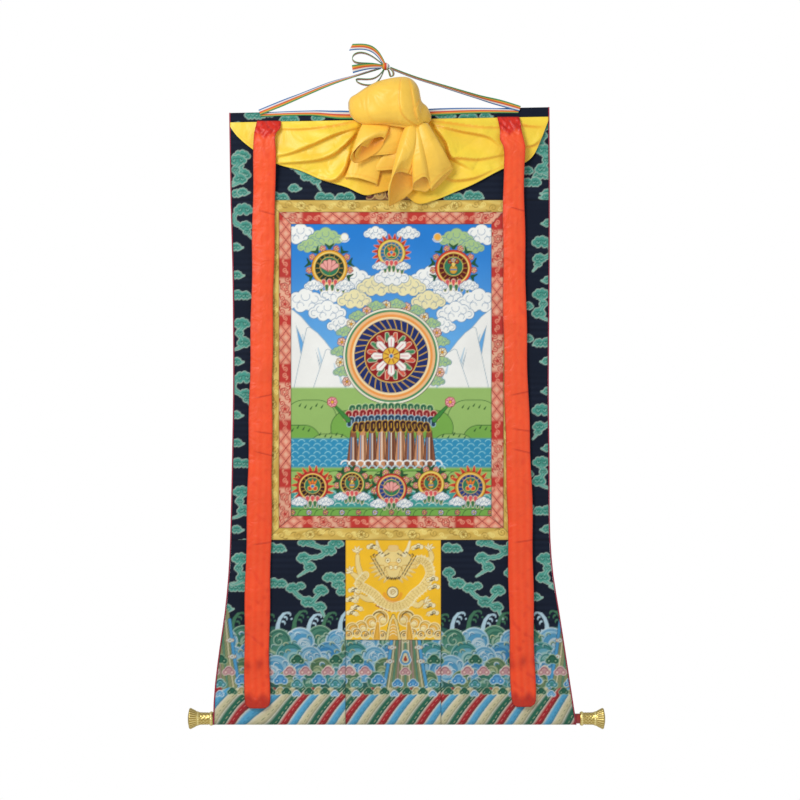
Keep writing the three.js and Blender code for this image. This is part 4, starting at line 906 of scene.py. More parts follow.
# yellow satin with a dragon that faces forward over a rock in the waves, a pearl below its chin
def paintDragonPatch(x, z):
    cloth = newPattern(x, z, patches["dragonGround"], 1.3)
    tones = ("light", "line", "shade", "dark", "cream")
    light, line, shade, dark, cream = (patches[name] for name in tones)
    middle = 15.5
    scrollTone = (light, cream, dark, shade)
    for side in (-1, 1):  # the swell and its scrolls along the foot, then the side rocks
        for dx, dz, reach in ((26, -1104, 16), (46, -1112, 13), (64, -1122, 12), (82, -1126, 12)):
            arch(cloth, middle + side * dx, dz, reach, (light, cream, line, shade), -side)
        for i in range(5):
            swirl(cloth, middle + side * (22 + 17 * i), -1138 + 4 * (i % 2), 8.5, scrollTone, side)
        stroke(cloth, [(middle + side * 31, -1114), (middle + side * 33, -1144)], (3, 7), shade, cream, 1.1)
        for lean in (-1, 1):
            stroke(cloth, [(middle + side * 31 + lean * 1.5, -1118),
                           (middle + side * 33 + lean * 4, -1144)], 0.6, line)
        stroke(cloth, arcPoints(middle + side * 29, -1104, 12, 90 - side * 60, 90 + side * 80, 10), 1.1,
               dark)
    stroke(cloth, [(middle, -1099), (middle, -1112), (middle, -1146)], (2, 8, 15), light, dark, 1.1)
    stroke(cloth, [(middle, -1108), (middle, -1120), (middle, -1146)], (1.5, 5, 9), shade, line, 1.0)
    for i in range(4):
        stroke(cloth, arcPoints(middle, -1122 - 7 * i, 5 + i, 30, 150, 8), 0.7, cream)
    for lineEnd in (((-19, -1079), (-6, -1085), (8, -1090)), ((25, -1090), (38, -1085), (49, -1077))):
        stroke(cloth, lineEnd, 1.3, "#a3461c")
    legs = (([(-50, -1034), (-50, -1017), (-55, -998), (-56, -980)], (-56, -971), 92),
            ([(-50, -1034), (-58, -1022), (-66, -1016)], (-69, -1011), 125),
            ([(-24, -1066), (-38, -1066), (-50, -1060)], (-56, -1062), 190),
            ([(50, -1070), (64, -1079), (74, -1072)], (80, -1071), -10),
            ([(84, -996), (92, -984), (90, -972)], (88, -966), 80))
    for bones, paw, aim in legs:
        stroke(cloth, smoothLine(bones, 12), np.linspace(6.5, 3.6, 13), light, line, 0.9)
        claws(cloth, *paw, aim, cream, line)
    body = smoothLine([(-40, -1018), (-54, -1036), (-38, -1046), (-21, -1058), (-8, -1072), (15.5, -1081),
                       (40, -1076), (56, -1058), (76, -1041), (89, -1017), (83, -995), (68, -987),
                       (58, -997)], 90)
    girth = 8.6 - 2.6 * np.abs(np.linspace(-1, 1, 91)) ** 2
    stroke(cloth, body, girth, light, cream, 1.4)
    for i in range(1, 90, 2):
        (ax, az), (bx, bz) = body[i], body[i + 1]
        long = math.hypot(bx - ax, bz - az)
        nx, nz = -(bz - az) / long, (bx - ax) / long
        angle = math.degrees(math.atan2(bz - az, bx - ax))
        for across in (-0.5, 0, 0.5) if i % 4 == 1 else (-0.25, 0.25):
            centre = (ax + nx * across * girth[i] * 1.3, az + nz * across * girth[i] * 1.3)
            stroke(cloth, arcPoints(*centre, 2.4, angle - 80, angle + 80, 6), 0.45, line, None, 1, 0.7)
        fin = (ax - nx * girth[i], az - nz * girth[i])
        stroke(cloth, [fin, (ax - nx * (girth[i] + 3.6), az - nz * (girth[i] + 3.6))], (1.5, 0.4), cream)
    for side in (-1, 1):  # beard and mane spread behind the face
        for i in range(8):
            angle = math.radians(90 - side * (62 + 15 * i))
            root = (middle + 20 * math.cos(angle), -1000 + 18 * math.sin(angle))
            tip = (middle + 47 * math.cos(angle + side * 0.18), -1000 + 36 * math.sin(angle + side * 0.18))
            stroke(cloth, [root, lerp(np.array(root), np.array(tip), 0.6) + np.array((0, 2.5)), tip],
                   (5, 3.6, 0.8), light, shade, 0.7)
            stroke(cloth, [root, tip], 0.4, line, None, 1, 0.8)
    motif(cloth, [([(-8, -986), (39, -986)], 12), ([(middle, -988), (middle, -1012)], (24, 12))], light,
          line, 0.9)
    stroke(cloth, [(middle - 5, -964), (middle + 5, -964)], 5.5, "#f3cf84", shade, 0.8)
    for k in range(5):
        stroke(cloth, arcPoints(middle, -1001 + 6 * k, 7 + 2.4 * k, 200, 340, 10), 0.6, shade)
    for side in (-1, 1):
        horn = smoothLine([(middle + side * 22, -978), (middle + side * 29, -966),
                           (middle + side * 33, -951)], 10)
        stroke(cloth, horn, np.linspace(4, 1.2, 11), cream, "#e7cfa4", 0.9)
        for i in range(6):  # dark brows and the locks down each cheek
            at = i / 5
            brow = (middle + side * lerp(9, 38, at), -975 - 3 * math.sin(at * 9))
            stroke(cloth, [brow, (brow[0] + side * 3.5, brow[1] - 2.5)], (1.3, 0.6), dark)
            for out, push in ((0, 0), (5, 1.5)):
                lock = (middle + side * (lerp(40, 20, at) + out), lerp(-979, -1013, at) - push)
                stroke(cloth, [lock, (lock[0] - side * 2.5, lock[1] - 5)], (1.1, 0.6), dark)
        eye = (middle + side * 11, -989)
        stroke(cloth, (eye,), (4.4,), cream, line, 1.0)
        stroke(cloth, (eye,), (1.6,), dark)
        disc(cloth, middle + side * 5, -1003, 3.6, cream, line, 0.8)
        stroke(cloth, arcPoints(middle + side * 12, -1007, 6, 90 - side * 120, 90 + side * 60, 8), 0.8,
               line)
    beard = [(middle - 14 + 2 * i, -1021 - 4 * (i % 2) - 2.5 * math.sin(i * pi / 14)) for i in range(15)]
    stroke(cloth, beard, 1.0, dark)
    stroke(cloth, arcPoints(14.4, -1052.5, 17, 190, 350, 20), 3.4, "#f39a1e", None, 1, 0.7)
    disc(cloth, 14.4, -1052.5, 10.2, cream, "#6b3a10", 1.5)
    stroke(cloth, arcPoints(14.4, -1052.5, 6, 0, 620, 26, -4.5), 0.7, line)
    for cx, cz, hand in ((-65, -1049, 1), (-71, -1068, 1), (-60, -1084, 1), (96, -1026, -1),
                         (99, -1042, -1), (90, -1079, -1), (-69, -1094, 1), (97, -1094, -1),
                         (-28, -962, 1), (66, -962, -1)):
        lobes = [(((cx + 5.2 * hand * lx, cz + 3.4 * lz),), (4.2,))
                 for lx, lz in ((-1.1, 0), (0, 0.8), (1.1, 0), (2, -0.6))]
        motif(cloth, lobes, cream, line, 0.7)
        wisp(cloth, cx, cz, 4.5, hand, dark, 0.7)
        stroke(cloth, [(cx + 10 * hand, cz - 2), (cx + 17 * hand, cz - 5)], (2.2, 0.5), light)
    return cloth["dye"]


roundels = (  # aureole's middle, size, ring, inside, emblem: three over the wheel, five along the shore
    (-112, -404, 33, "#e8a92c", "#17372a", "lotus"), (12, -374, 25, "#e7c84e", "#1c6f9c", "jewel"),
    (136, -404, 33, "#d9482a", "#5e1013", "vase"),
    (-146, -842, 28, "#c9302a", "#33121c", "jewel"), (-67, -836, 24, "#3d8a4a", "#3a1020", "vase"),
    (12, -846, 28, "#c9302a", "#1d3f86", "lotus"), (91, -836, 24, "#e7c84e", "#9c2a1c", "vase"),
    (170, -842, 28, "#e0a028", "#1b3a7c", "jewel"),
)


# A bank of scalloped cloud with curls drawn inside its edge
def paintedCloud(cloth, x, z, size, hexValue):
    lobes = ((-2.1, 0.0, 0.8), (-1.2, 0.55, 0.9), (0.0, 0.9, 1.05), (1.2, 0.5, 0.9), (2.1, 0.0, 0.75),
             (0.9, -0.4, 0.8), (-0.7, -0.35, 0.85), (0, 0.1, 1.0))
    strokes = [(((x + size * lx, z + size * lz),), (size * r,)) for lx, lz, r in lobes]
    motif(cloth, strokes, hexValue, painting["outline"], 1.1)
    for i, (lx, lz, r) in enumerate(lobes[:7]):
        start = 60 + 50 * i
        stroke(cloth, arcPoints(x + size * lx, z + size * lz, size * r * 0.55, start, start + 230, 9), 0.6,
               painting["outline"], None, 0, 0.75)


def lotusBase(cloth, x, z, wide, petalHex, rimHex, leafHex):
    count = max(int(wide / 5), 5)
    for row, (lift, hexValue) in enumerate(((6, petalHex), (-4, leafHex))):
        for i in range(count):
            px = x + wide * ((i + 0.5 * (row % 2)) / (count - 1) * 2 - 1) * (0.94 if row else 1)
            droop = 3 * ((px - x) / wide) ** 2
            petal = [(px, z + lift - droop), (px * 0.985 + x * 0.015, z + lift - 7 - droop)]
            stroke(cloth, petal, (3.8, 2.0), hexValue, rimHex, 1.0)


def emblem(cloth, x, z, size, kind):
    if kind == "lotus":
        for lean in (-60, -30, 30, 60, 0):
            angle = math.radians(90 - lean)
            tip = polar(x, z - 0.3 * size, size, angle)
            stroke(cloth, [(x, z - 0.4 * size), tip], (size * 0.16, size * 0.24), "#f0a8a0",
                   painting["crimson"], 0.9)
        stroke(cloth, [(x, z - 0.4 * size), (x, z - 0.95 * size)], 1.3, "#3f8a3c")
    elif kind == "jewel":
        for dx, dz in ((-0.36, -0.3), (0.36, -0.3), (0, 0.3)):
            disc(cloth, x + size * dx, z + size * dz, size * 0.3, "#d6402c", painting["gilt"], 1.0)
        disc(cloth, x, z, size * 0.24, "#3a7fc4", painting["gilt"], 0.9)
        for lean in (-35, 0, 35):
            angle = math.radians(90 - lean)
            tongue = [polar(x, z, size * r, angle) for r in (0.6, 1.0)]
            stroke(cloth, tongue, (2.2, 0.6), "#f08a2c", painting["crimson"], 0.6)
    else:
        stroke(cloth, [(x, z - 0.35 * size), (x, z - 0.2 * size)], size * 0.42, "#d9a83a",
               painting["maroon"], 1.1)
        stroke(cloth, [(x, z + 0.2 * size), (x, z + 0.42 * size)], (size * 0.16, size * 0.24),
               painting["gilt"], painting["maroon"], 0.8)
        stroke(cloth, [(x - size * 0.34, z - 0.3 * size), (x + size * 0.34, z - 0.3 * size)], 1.2,
               "#2f7fb8")
        for dx, hexValue in ((-0.4, "#e05a4a"), (0.4, "#e05a4a"), (0, "#f4f0e0")):
            blossom(cloth, x + dx * size, z + (0.7 + 0.15 * (dx == 0)) * size, size * 0.26, 5, hexValue,
                    painting["maroon"], painting["pollen"])


# an aureole on a lotus seat, with flowers or flames round it, that holds one auspicious emblem
def roundel(cloth, x, z, size, ringHex, insideHex, kind):
    for i in range(13):
        angle = math.radians(-25 + 230 * i / 12)
        reach = size * 1.24
        place = polar(x, z, reach, angle)
        if kind == "jewel":
            tongue = [polar(x, z, r * size, angle + 0.1 * r) for r in (1, 1.25, 1.5)]
            stroke(cloth, tongue, (4, 2.6, 0.6), "#c9302a", "#f0a45a", 0.9)
        elif i % 2:
            blossom(cloth, *place, 6, 5, "#f2b0a0", "#8c3a2c", painting["gilt"], i)
        else:
            for lean in (-0.35, 0.35):
                tip = polar(x, z, reach + 8, angle + lean * 0.5)
                stroke(cloth, [place, tip], (2.8, 0.6), "#1f5a34", "#0f2c1c", 0.6)
    disc(cloth, x, z, size * 1.08, ringHex, "#4a1a10", 1.2)
    disc(cloth, x, z, size * 0.97, "#f4d988")
    disc(cloth, x, z, size * 0.88, insideHex, "#e9b93c", 1.2)
    for i in range(16):
        angle = 2 * pi * i / 16
        ray = [polar(x, z, size * r, angle) for r in (0.62, 0.82)]
        stroke(cloth, ray, 0.7, "#d9a83a", None, 0, 0.7)
    disc(cloth, x, z + size * 0.1, size * 0.56, "#2d7a5a", painting["gilt"], 1.0)
    emblem(cloth, x, z + size * 0.05, size * 0.5, kind)
    lotusBase(cloth, x, z - size * 0.98, size * 0.72, "#d9585a", "#f2d9c0", "#3d7a4a")
    for dx in (-1, 1):
        paintedCloud(cloth, x + dx * size * 0.95, z - size * 1.1, size * 0.2, painting["white"])


def paintSky(cloth):
    down = smoothstep(-cloth["z"], 316, 640)[:, None]
    cloth["dye"][:] = lerp(linearColour(painting["top"]), linearColour(painting["low"]), down)
    for cx, cz, size, hexValue in (
            (-170, -340, 13, "white"), (-120, -346, 12, "green"), (-150, -362, 9, "green"),
            (192, -342, 13, "white"), (142, -348, 12, "green"), (172, -364, 9, "green"),
            (-20, -336, 8, "white"), (46, -336, 8, "white"), (-66, -430, 15, "white"),
            (92, -428, 15, "white"), (-20, -444, 13, "cream"), (44, -444, 13, "cream"),
            (-96, -458, 12, "white"), (120, -460, 12, "white"), (12, -424, 12, "white"),
            (-160, -474, 15, "white"), (186, -474, 15, "white"), (-116, -494, 13, "white"),
            (140, -496, 13, "white"), (-62, -470, 12, "cream"), (86, -472, 12, "cream"),
            (-88, -520, 10, "white"), (112, -522, 10, "white")):
        paintedCloud(cloth, cx, cz, size, painting[hexValue])
    for cx, hexValue in ((-82, "#f4f4ee"), (104, "#f2b24a")):
        disc(cloth, cx, -342, 6.5, hexValue, "#e8e0b0", 1.4)
        stroke(cloth, arcPoints(cx, -342, 10, 200, 340, 9), 0.8, painting["white"])


def paintPeaks(cloth):  # snow peaks on both sides, with pale blue in their gullies
    for side, base in ((-1, -189), (1, 212)):
        for out, top, wide, low in ((0, -492, 84, -640), (36, -528, 66, -646), (74, -572, 44, -648)):
            peak = base - side * out
            foot = [(peak - side * t * wide, lerp(top, low, t ** 1.25)) for t in np.linspace(0, 1, 7)]
            motif(cloth, [(foot, np.linspace(5, 26, 7)), ([(peak, top), (peak, low)], (5, 30))], "#f3f4f0",
                  "#8fa9b8", 1.2)
            for k in (0.3, 0.55, 0.8):
                gully = [(peak - side * wide * k * 0.9, lerp(top, low, k)),
                         (peak - side * wide * (k * 0.9 + 0.12), lerp(top, low, min(k + 0.25, 1)))]
                stroke(cloth, gully, (0.8, 2.6), "#b9d3e2")


def paintLand(cloth):
    z = cloth["z"]
    wash(cloth, smoothstep(-z, 640, 646), painting["far"])
    for i, (cx, cz, reach, hexValue) in enumerate((
            (-150, -672, 60, "far"), (176, -672, 60, "far"), (-60, -690, 56, "hill"),
            (86, -690, 56, "hill"), (-176, -716, 50, "hill"), (200, -716, 50, "hill"),
            (-110, -730, 44, "far"), (136, -730, 44, "far"))):
        stroke(cloth, [(cx - 14, cz - 34), (cx + 14, cz - 34)], reach * 0.62, painting[hexValue],
               painting["edge"], 1.3)
        for k in range(5):
            tuft = (cx - 22 + 11 * k, cz - 8 - 3 * ((k + i) % 3))
            stroke(cloth, [tuft, (tuft[0] + 3, tuft[1] + 5)], (1.6, 0.5), painting["edge"])
    wash(cloth, smoothstep(-z, 742, 748) * (1 - smoothstep(-z, 800, 806)), painting["lake"])
    for row in range(7):
        for i in range(20):
            cx, cz = -190 + 22 * i + 9 * (row % 2), -750 - 8 * row
            stroke(cloth, arcPoints(cx, cz - 4, 7, 25, 155, 7), 0.8, painting["lakeLight"])
    wash(cloth, smoothstep(-z, 803, 808), painting["hill"])
    for i in range(9):
        cx = -185 + 49 * i
        stroke(cloth, [(cx - 16, -832), (cx + 16, -832)], 21, painting["far"], painting["edge"], 1.2)
        for k in range(4):
            blossom(cloth, cx - 24 + 16 * k, -822 - 5 * (k % 2), 3.8, 5, "#f4f0e0" if k % 2 else "#e8743a",
                    "#7a2c1c", painting["pollen"])
    wash(cloth, smoothstep(-z, 846, 851) * (1 - smoothstep(-z, 880, 886)), "#3f9a94")
    for row in range(4):
        for i in range(16):
            stroke(cloth, arcPoints(-188 + 27 * i + 12 * (row % 2), -858 - 8 * row, 8, 25, 155, 7), 0.8,
                   "#c4e4dc")
    for i in range(22):
        tone = ("#e8743a", "#f4efe0", "#e0a028")[i % 3]
        disc(cloth, -78 + 8.5 * i, -840 - 3 * (i % 2), 3.2, tone, painting["maroon"], 0.8)
    for i in range(13):
        cx = -186 + 33 * i
        stroke(cloth, [(cx - 9, -900), (cx + 9, -900)], 13, painting["hill"], painting["edge"], 1.2)
        blossom(cloth, cx, -893, 5, 5, "#e9e4f0" if i % 2 else "#f0a27a", "#3c2a4c", painting["pollen"])


def paintRocks(cloth, middle):  # banded rock and falling water under the great lotus
    for i in range(9):
        cx = middle - 76 + 19 * i
        height = 22 + 13 * math.cos((i - 4) * 0.55)
        hexValue = painting[("rock", "rockLight")[i % 2]]
        stroke(cloth, [(cx, -746 + height), (cx, -792)], (4.5, 12), hexValue, painting["rockDark"], 1.2)
        for k in range(3):
            fall = [(cx - 4 + 4 * k, -752 + height * 0.6), (cx - 5 + 5 * k, -790)]
            stroke(cloth, fall, 0.9, ("#3a8fc4", "#f0e6d6", painting["rockDark"])[k])
    for i in range(13):
        stroke(cloth, arcPoints(middle - 92 + 15.4 * i, -798, 9, 10, 170, 8), 1.3, "#f4f6f2")
        stroke(cloth, arcPoints(middle - 84 + 15.4 * i, -806, 7, 10, 170, 8), 1.0, "#bfe0ea")


def paintWheel(cloth, x, z, reach):  # the great wheel on its lotus, inside a rainbow aureole
    for i in range(22):
        angle = math.radians(-30 + 240 * i / 21)
        place = polar(x, z, reach * 1.22, angle)
        if i % 2:
            blossom(cloth, *place, 9, 6, "#f2c4b0" if i % 4 == 1 else "#f0e9c8", "#6a2a24", "#e0a028", i)
        else:
            paintedCloud(cloth, *place, 6.5, painting["green"])
    for share, hexValue in ((1.14, "#f6f0dc"), (1.1, "#3f8a5c"), (1.05, "#f3c08a"), (0.99, "#ee9a4a"),
                            (0.93, "#f7dfae"), (0.88, "#162a6a")):
        disc(cloth, x, z, reach * share, hexValue, "#1c1a2c" if share > 1.12 else None, 1.2)
    for i in range(32):
        angle = 2 * pi * i / 32
        ray = [polar(x, z, reach * r, angle + 0.06 * k)
               for k, r in enumerate((0.66, 0.75, 0.86))]
        stroke(cloth, ray, 0.8, "#e9b93c")
    disc(cloth, x, z, reach * 0.62, "#8c1218", painting["gilt"], 1.6)
    for i in range(16):
        angle = 2 * pi * (i + 0.5) / 16
        petal = [polar(x, z, reach * r, angle) for r in (0.4, 0.53)]
        stroke(cloth, petal, (4.8, 3.2), ("#3f8a5c", "#d65a4a")[i % 2], "#f6e6c4", 0.9)
    for i in range(8):
        angle = 2 * pi * i / 8
        petal = [polar(x, z, reach * r, angle) for r in (0.2, 0.38, 0.46)]
        stroke(cloth, petal, (4.6, 6.8, 1.6), "#f6f2ea", "#7a1c2a", 1.1)
        vein = [polar(x, z, reach * r, angle) for r in (0.24, 0.4)]
        stroke(cloth, vein, 0.8, "#e58a9a")
    disc(cloth, x, z, reach * 0.2, "#e9b93c", "#7a1c2a", 1.4)
    for i in range(8):
        angle = 2 * pi * (i + 0.5) / 8
        spoke = [(x, z), polar(x, z, reach * 0.17, angle)]
        stroke(cloth, spoke, 0.9, "#8c1218")
    disc(cloth, x, z, 3.4, "#2a6fb0", "#f6e6c4", 1.2)


def paintGreatLotus(cloth, x, z):
    for lift, wide, hexValue, rimHex in (
            (8, 84, "#2f6a4a", "#c9dfa8"), (-4, 92, painting["crimson"], "#f0b0a0"),
            (-16, 86, "#23405c", "#a9d0e0"), (-27, 76, "#3a1a20", "#d9a83a")):
        count = 13
        for i in range(count):
            px = x + wide * (2 * (i + 0.5) / count - 1)
            petal = [(px, z + lift + 6 - 5 * ((px - x) / wide) ** 2), (px + 0.06 * (px - x), z + lift - 7)]
            stroke(cloth, petal, (6.4, 4.2), hexValue, rimHex, 1.2)
            stroke(cloth, [petal[0], (petal[0][0], petal[0][1] - 8)], 0.8, rimHex)
    for sx in (-1, 1):
        for k in range(3):
            tip = (x + sx * (96 + 12 * k), z - 6 + 14 * k)
            stroke(cloth, [(x + sx * 86, z - 14), tip], (4.5, 1), "#3f8a3c", "#123a22", 1.0)
        blossom(cloth, x + sx * 118, z + 22, 10, 7, "#f2a0a8", painting["crimson"], painting["pollen"])


# the painted cloth: a wheel on a lotus among auspicious emblems, clouds, peaks, hills and water
def paintCanvas(x, z):
    cloth = newPattern(x, z, painting["ground"], 1.5)
    middle = scroll["centreX"]
    paintSky(cloth)
    paintPeaks(cloth)
    paintLand(cloth)
    paintRocks(cloth, middle)
    paintWheel(cloth, middle, painting["wheelZ"], painting["wheelReach"])
    paintGreatLotus(cloth, middle, painting["lotusZ"])
    for placed in roundels:
        roundel(cloth, *placed)
    return cloth["dye"]


def makePicture():
    silk = clothMaterial("bandSilk", bands["threads"])
    canvas = clothMaterial("paintedCotton", painting["canvas"])
    step = scroll["threadStep"]
    width, height, band = scroll["pictureWidth"], scroll["pictureHeight"], scroll["bandWidth"]
    hung = {"held": "hung", "rests_on": ["brocade_top"]}
    for colour, grow, paint in (("red", 0, paintRedBand), ("gold", 2 * band, paintGoldBand)):
        for side in ("top", "bottom", "left", "right"):
            place, flatOf, level, length = bandPlace(side, width + grow, height + grow)
            across, along = round(band / 1.6), round(length / step)
            columns, rows = (along, across) if level else (across, along)
            seed = ("top", "left", "bottom", "right").index(side)
            dyedAndShadedCloth(f"{colour}_band_{side}", silk, f"{colour}_band", columns, rows, place,
                      lambda along, out, seed=seed, paint=paint: paint(along, out, seed), bands["reverse"],
                      flatOf, flat=(band / 1000, (length + 2 * band) / 1000), **hung)
    top = scroll["frameTopZ"] - 2 * band
    middle = scroll["centreX"]
    place = flatPlace(upright(middle - width / 2), upright(middle + width / 2),
                      top, top - height, 1.2, 0.2)
    dyedAndShadedCloth("picture_canvas", canvas, "canvas", round(width / 1.7), round(height / 1.7), place,
              paintCanvas, painting["reverse"], flat=(width / 1000, height / 1000), **hung)
    place = flatPlace(upright(scroll["doorLeftX"]), upright(scroll["doorRightX"]),
                      frameBottomZ, frameBottomZ - scroll["doorHeight"])
    dyedAndShadedCloth("dragon_patch", silk, "dragon_patch", 120, 125, place, paintDragonPatch, bands["reverse"],
              flat=(patches["dragonWidth"] / 1000, scroll["doorHeight"] / 1000), **hung)
    half, tall = patches["crownWidth"] / 2, patches["crownHeight"]
    place = flatPlace(upright(middle - half), upright(middle + half),
                      scroll["frameTopZ"] + tall, scroll["frameTopZ"], 1.2, -1.5)
    dyedAndShadedCloth("crown_patch", silk, "crown_patch", 60, 38, place, paintCrownPatch, bands["reverse"],
              flat=(half / 500, tall / 1000), **hung)
    print("picture done")


# the rod, its finials and the piping
rodEnds = {
    "bore": 10.35, "finialLength": 50, "socket": 12, "neck": 13, "rim": 20.5,
    "mouths": {"left": -346, "right": 390},
    "segments": 96, "beads": 18, "petals": 12, "chasingWear": 3.85,
    "lacquer": "#8c1a18", "grainDark": "#6e100f", "grainLight": "#b5281f", "grain": (41.7, 2.78, 2.78),
    "brass": "#f8e594", "brassHighlight": "#fffad2", "brassDark": "#9c7a2c",
}
pipingLook = {  # a rolled silk edge: close threads and a faint gloss
    "silk": "#a01c3c",
    "threads": {"roughness": 0.5, "sheen": 0.2, "specular": 0.4, "thread": 1.0, "threadShade": 0.15,
                "weaveBump": 0.5, "patchSize": 30, "unevenness": 0.1},
}


def lacquerMaterial():  # turned hardwood under red lacquer: glossy, with fine streaks along the rod
    material, shader, tree = newMaterial("redLacquer", rodEnds["lacquer"], 0.3)
    where = addNode(tree, "ShaderNodeTexCoord").outputs["Object"]
    stretch = addNode(tree, "ShaderNodeMapping", None, {
        "Vector": where, "Scale": [1000 / size for size in rodEnds["grain"]]})
    grain = addNode(tree, "ShaderNodeTexNoise", None, {"Vector": stretch.outputs[0], "Scale": 1.0,
                                                       "Detail": 5.0})
    tint = addNode(tree, "ShaderNodeMix", {"data_type": "RGBA"}, {"Factor": grain.outputs["Fac"]})
    tint.inputs["A"].default_value = rgba(rodEnds["grainDark"])
    tint.inputs["B"].default_value = rgba(rodEnds["grainLight"])
    tree.links.new(tint.outputs["Result"], shader.inputs["Base Color"])
    bump = addNode(tree, "ShaderNodeBump", None, {"Height": grain.outputs["Fac"], "Strength": 0.2,
                                                  "Distance": 0.0004})
    tree.links.new(bump.outputs["Normal"], shader.inputs["Normal"])
    shader.inputs["Coat Weight"].default_value = 0.4
    shader.inputs["Coat Roughness"].default_value = 0.15
    return material


def brassMaterial():  # pressed brass, dark in the chasing, with a painted highlight on its high places
    material, shader, tree = newMaterial("pressedBrass", rodEnds["brass"], 0.26, 1.0)
    tint = addNode(tree, "ShaderNodeAttribute", {"attribute_name": "dye"})
    where = addNode(tree, "ShaderNodeTexCoord").outputs["Object"]
    wear = addNode(tree, "ShaderNodeTexNoise", None, {
        "Vector": where, "Scale": 1000 / rodEnds["chasingWear"], "Detail": 4.0})
    rough = addNode(tree, "ShaderNodeMapRange", None, {"Value": wear.outputs["Fac"], "To Min": 0.24,
                                                       "To Max": 0.5})
    tree.links.new(tint.outputs["Color"], shader.inputs["Base Color"])
    tree.links.new(rough.outputs[0], shader.inputs["Roughness"])
    bump = addNode(tree, "ShaderNodeBump", None, {"Height": wear.outputs["Fac"], "Strength": 0.25,
                                                  "Distance": 0.0003})
    tree.links.new(bump.outputs["Normal"], shader.inputs["Normal"])
    return material


# height of the chasing in mm: two rows of beads, a band of leaves and a pleated bell
def finialRelief(along, angle):
    beads = np.abs(np.cos(angle * rodEnds["beads"] / 2)) ** 0.7
    beadRow = np.exp(-((along - 4) / 2.2) ** 2) + np.exp(-((along - 30) / 1.8) ** 2)
    leaf = np.cos(angle * rodEnds["petals"] + 0.5 * np.sin(along * 0.9))
    leafBand = smoothstep(along, 9, 12) * (1 - smoothstep(along, 24, 27))
    diamonds = np.cos(along * 0.85) * leaf
    bell = smoothstep(along, 32, 36) * (1 - smoothstep(along, 45, 47))
    pleats = np.cos(angle * rodEnds["petals"] * 2)
    return 0.9 * beads * beadRow + 0.8 * leafBand * diamonds + 0.7 * bell * pleats


def makeFinials():
    brass = brassMaterial()
    dark, plain, light = (linearColour(rodEnds[name]) for name in ("brassDark", "brass", "brassHighlight"))
    neck, rim, length, socket = (rodEnds[name] for name in ("neck", "rim", "finialLength", "socket"))
    outline = np.array([
        (0, neck), (3, neck + 0.6), (6, neck), (8, neck - 1), (24, neck - 0.8), (32, neck + 1.2),
        (39, neck + 4.6), (44, rim - 0.4), (46, rim), (47.5, rim - 1), (48.5, rim * 0.75),
        (length, rim * 0.4), (length + 0.4, 0.02)])
    fine = smoothLine(outline, 96)
    bore = rodEnds["bore"]
    inside = [(socket, 0.02), (socket, bore * 0.5), (socket, bore), (socket * 0.5, bore), (0.3, bore)]
    profile = np.concatenate([np.array(inside), fine])
    for side, mouth in rodEnds["mouths"].items():
        sign = -1 if side == "left" else 1
        bm = bmesh.new()
        verts = [bm.verts.new((mouth / 1000 + sign * along / 1000, scroll["rodY"] / 1000,
                               (scroll["rodZ"] + radius) / 1000)) for along, radius in profile]
        edges = [bm.edges.new(pair) for pair in zip(verts[:-1], verts[1:])]
        centre = (mouth / 1000, scroll["rodY"] / 1000, scroll["rodZ"] / 1000)
        bmesh.ops.spin(bm, geom=verts + edges, cent=centre, axis=(1, 0, 0), angle=2 * pi,
                       steps=rodEnds["segments"], use_merge=True)
        bmesh.ops.remove_doubles(bm, verts=bm.verts, dist=0.00003)
        bmesh.ops.recalc_face_normals(bm, faces=bm.faces)
        colours = []
        for vert in bm.verts:
            along = abs(vert.co.x * 1000 - mouth)
            y, z = vert.co.y * 1000 - scroll["rodY"], vert.co.z * 1000 - scroll["rodZ"]
            radius, angle = math.hypot(y, z), math.atan2(z, y)
            relief = 0.0
            if radius > bore + 1:
                relief = float(finialRelief(along, angle))
                scale = (radius + relief) / radius / 1000
                vert.co.y, vert.co.z = scroll["rodY"] / 1000 + y * scale, scroll["rodZ"] / 1000 + z * scale
            # dark patina in the chasing's hollows, and a painted highlight on its raised places
            tone = min(max(0.45 + relief * 0.5, 0), 1)
            paintedHighlight = (tone - 0.6) * 1.2
            colours.append(lerp(dark, plain, tone) if paintedHighlight < 0 else lerp(plain, light, paintedHighlight))
        for face in bm.faces:
            face.smooth = True
        finial = meshObject(f"finial_{side}", bm)
        dye(finial, np.array(colours))
        finishPiece(finial, brass, "finial", f"finial_{side}")
    print("finials done")


def dressCadPieces():
    lacquer = lacquerMaterial()
    silk = clothMaterial("pipingSilk", pipingLook["threads"], pipingLook["silk"])
    for name, material in (("rod", lacquer), ("edge_piping_left", silk), ("edge_piping_right", silk)):
        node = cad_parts[name]
        node.data.materials.clear()
        node.data.materials.append(material)
    print("rod and piping done")


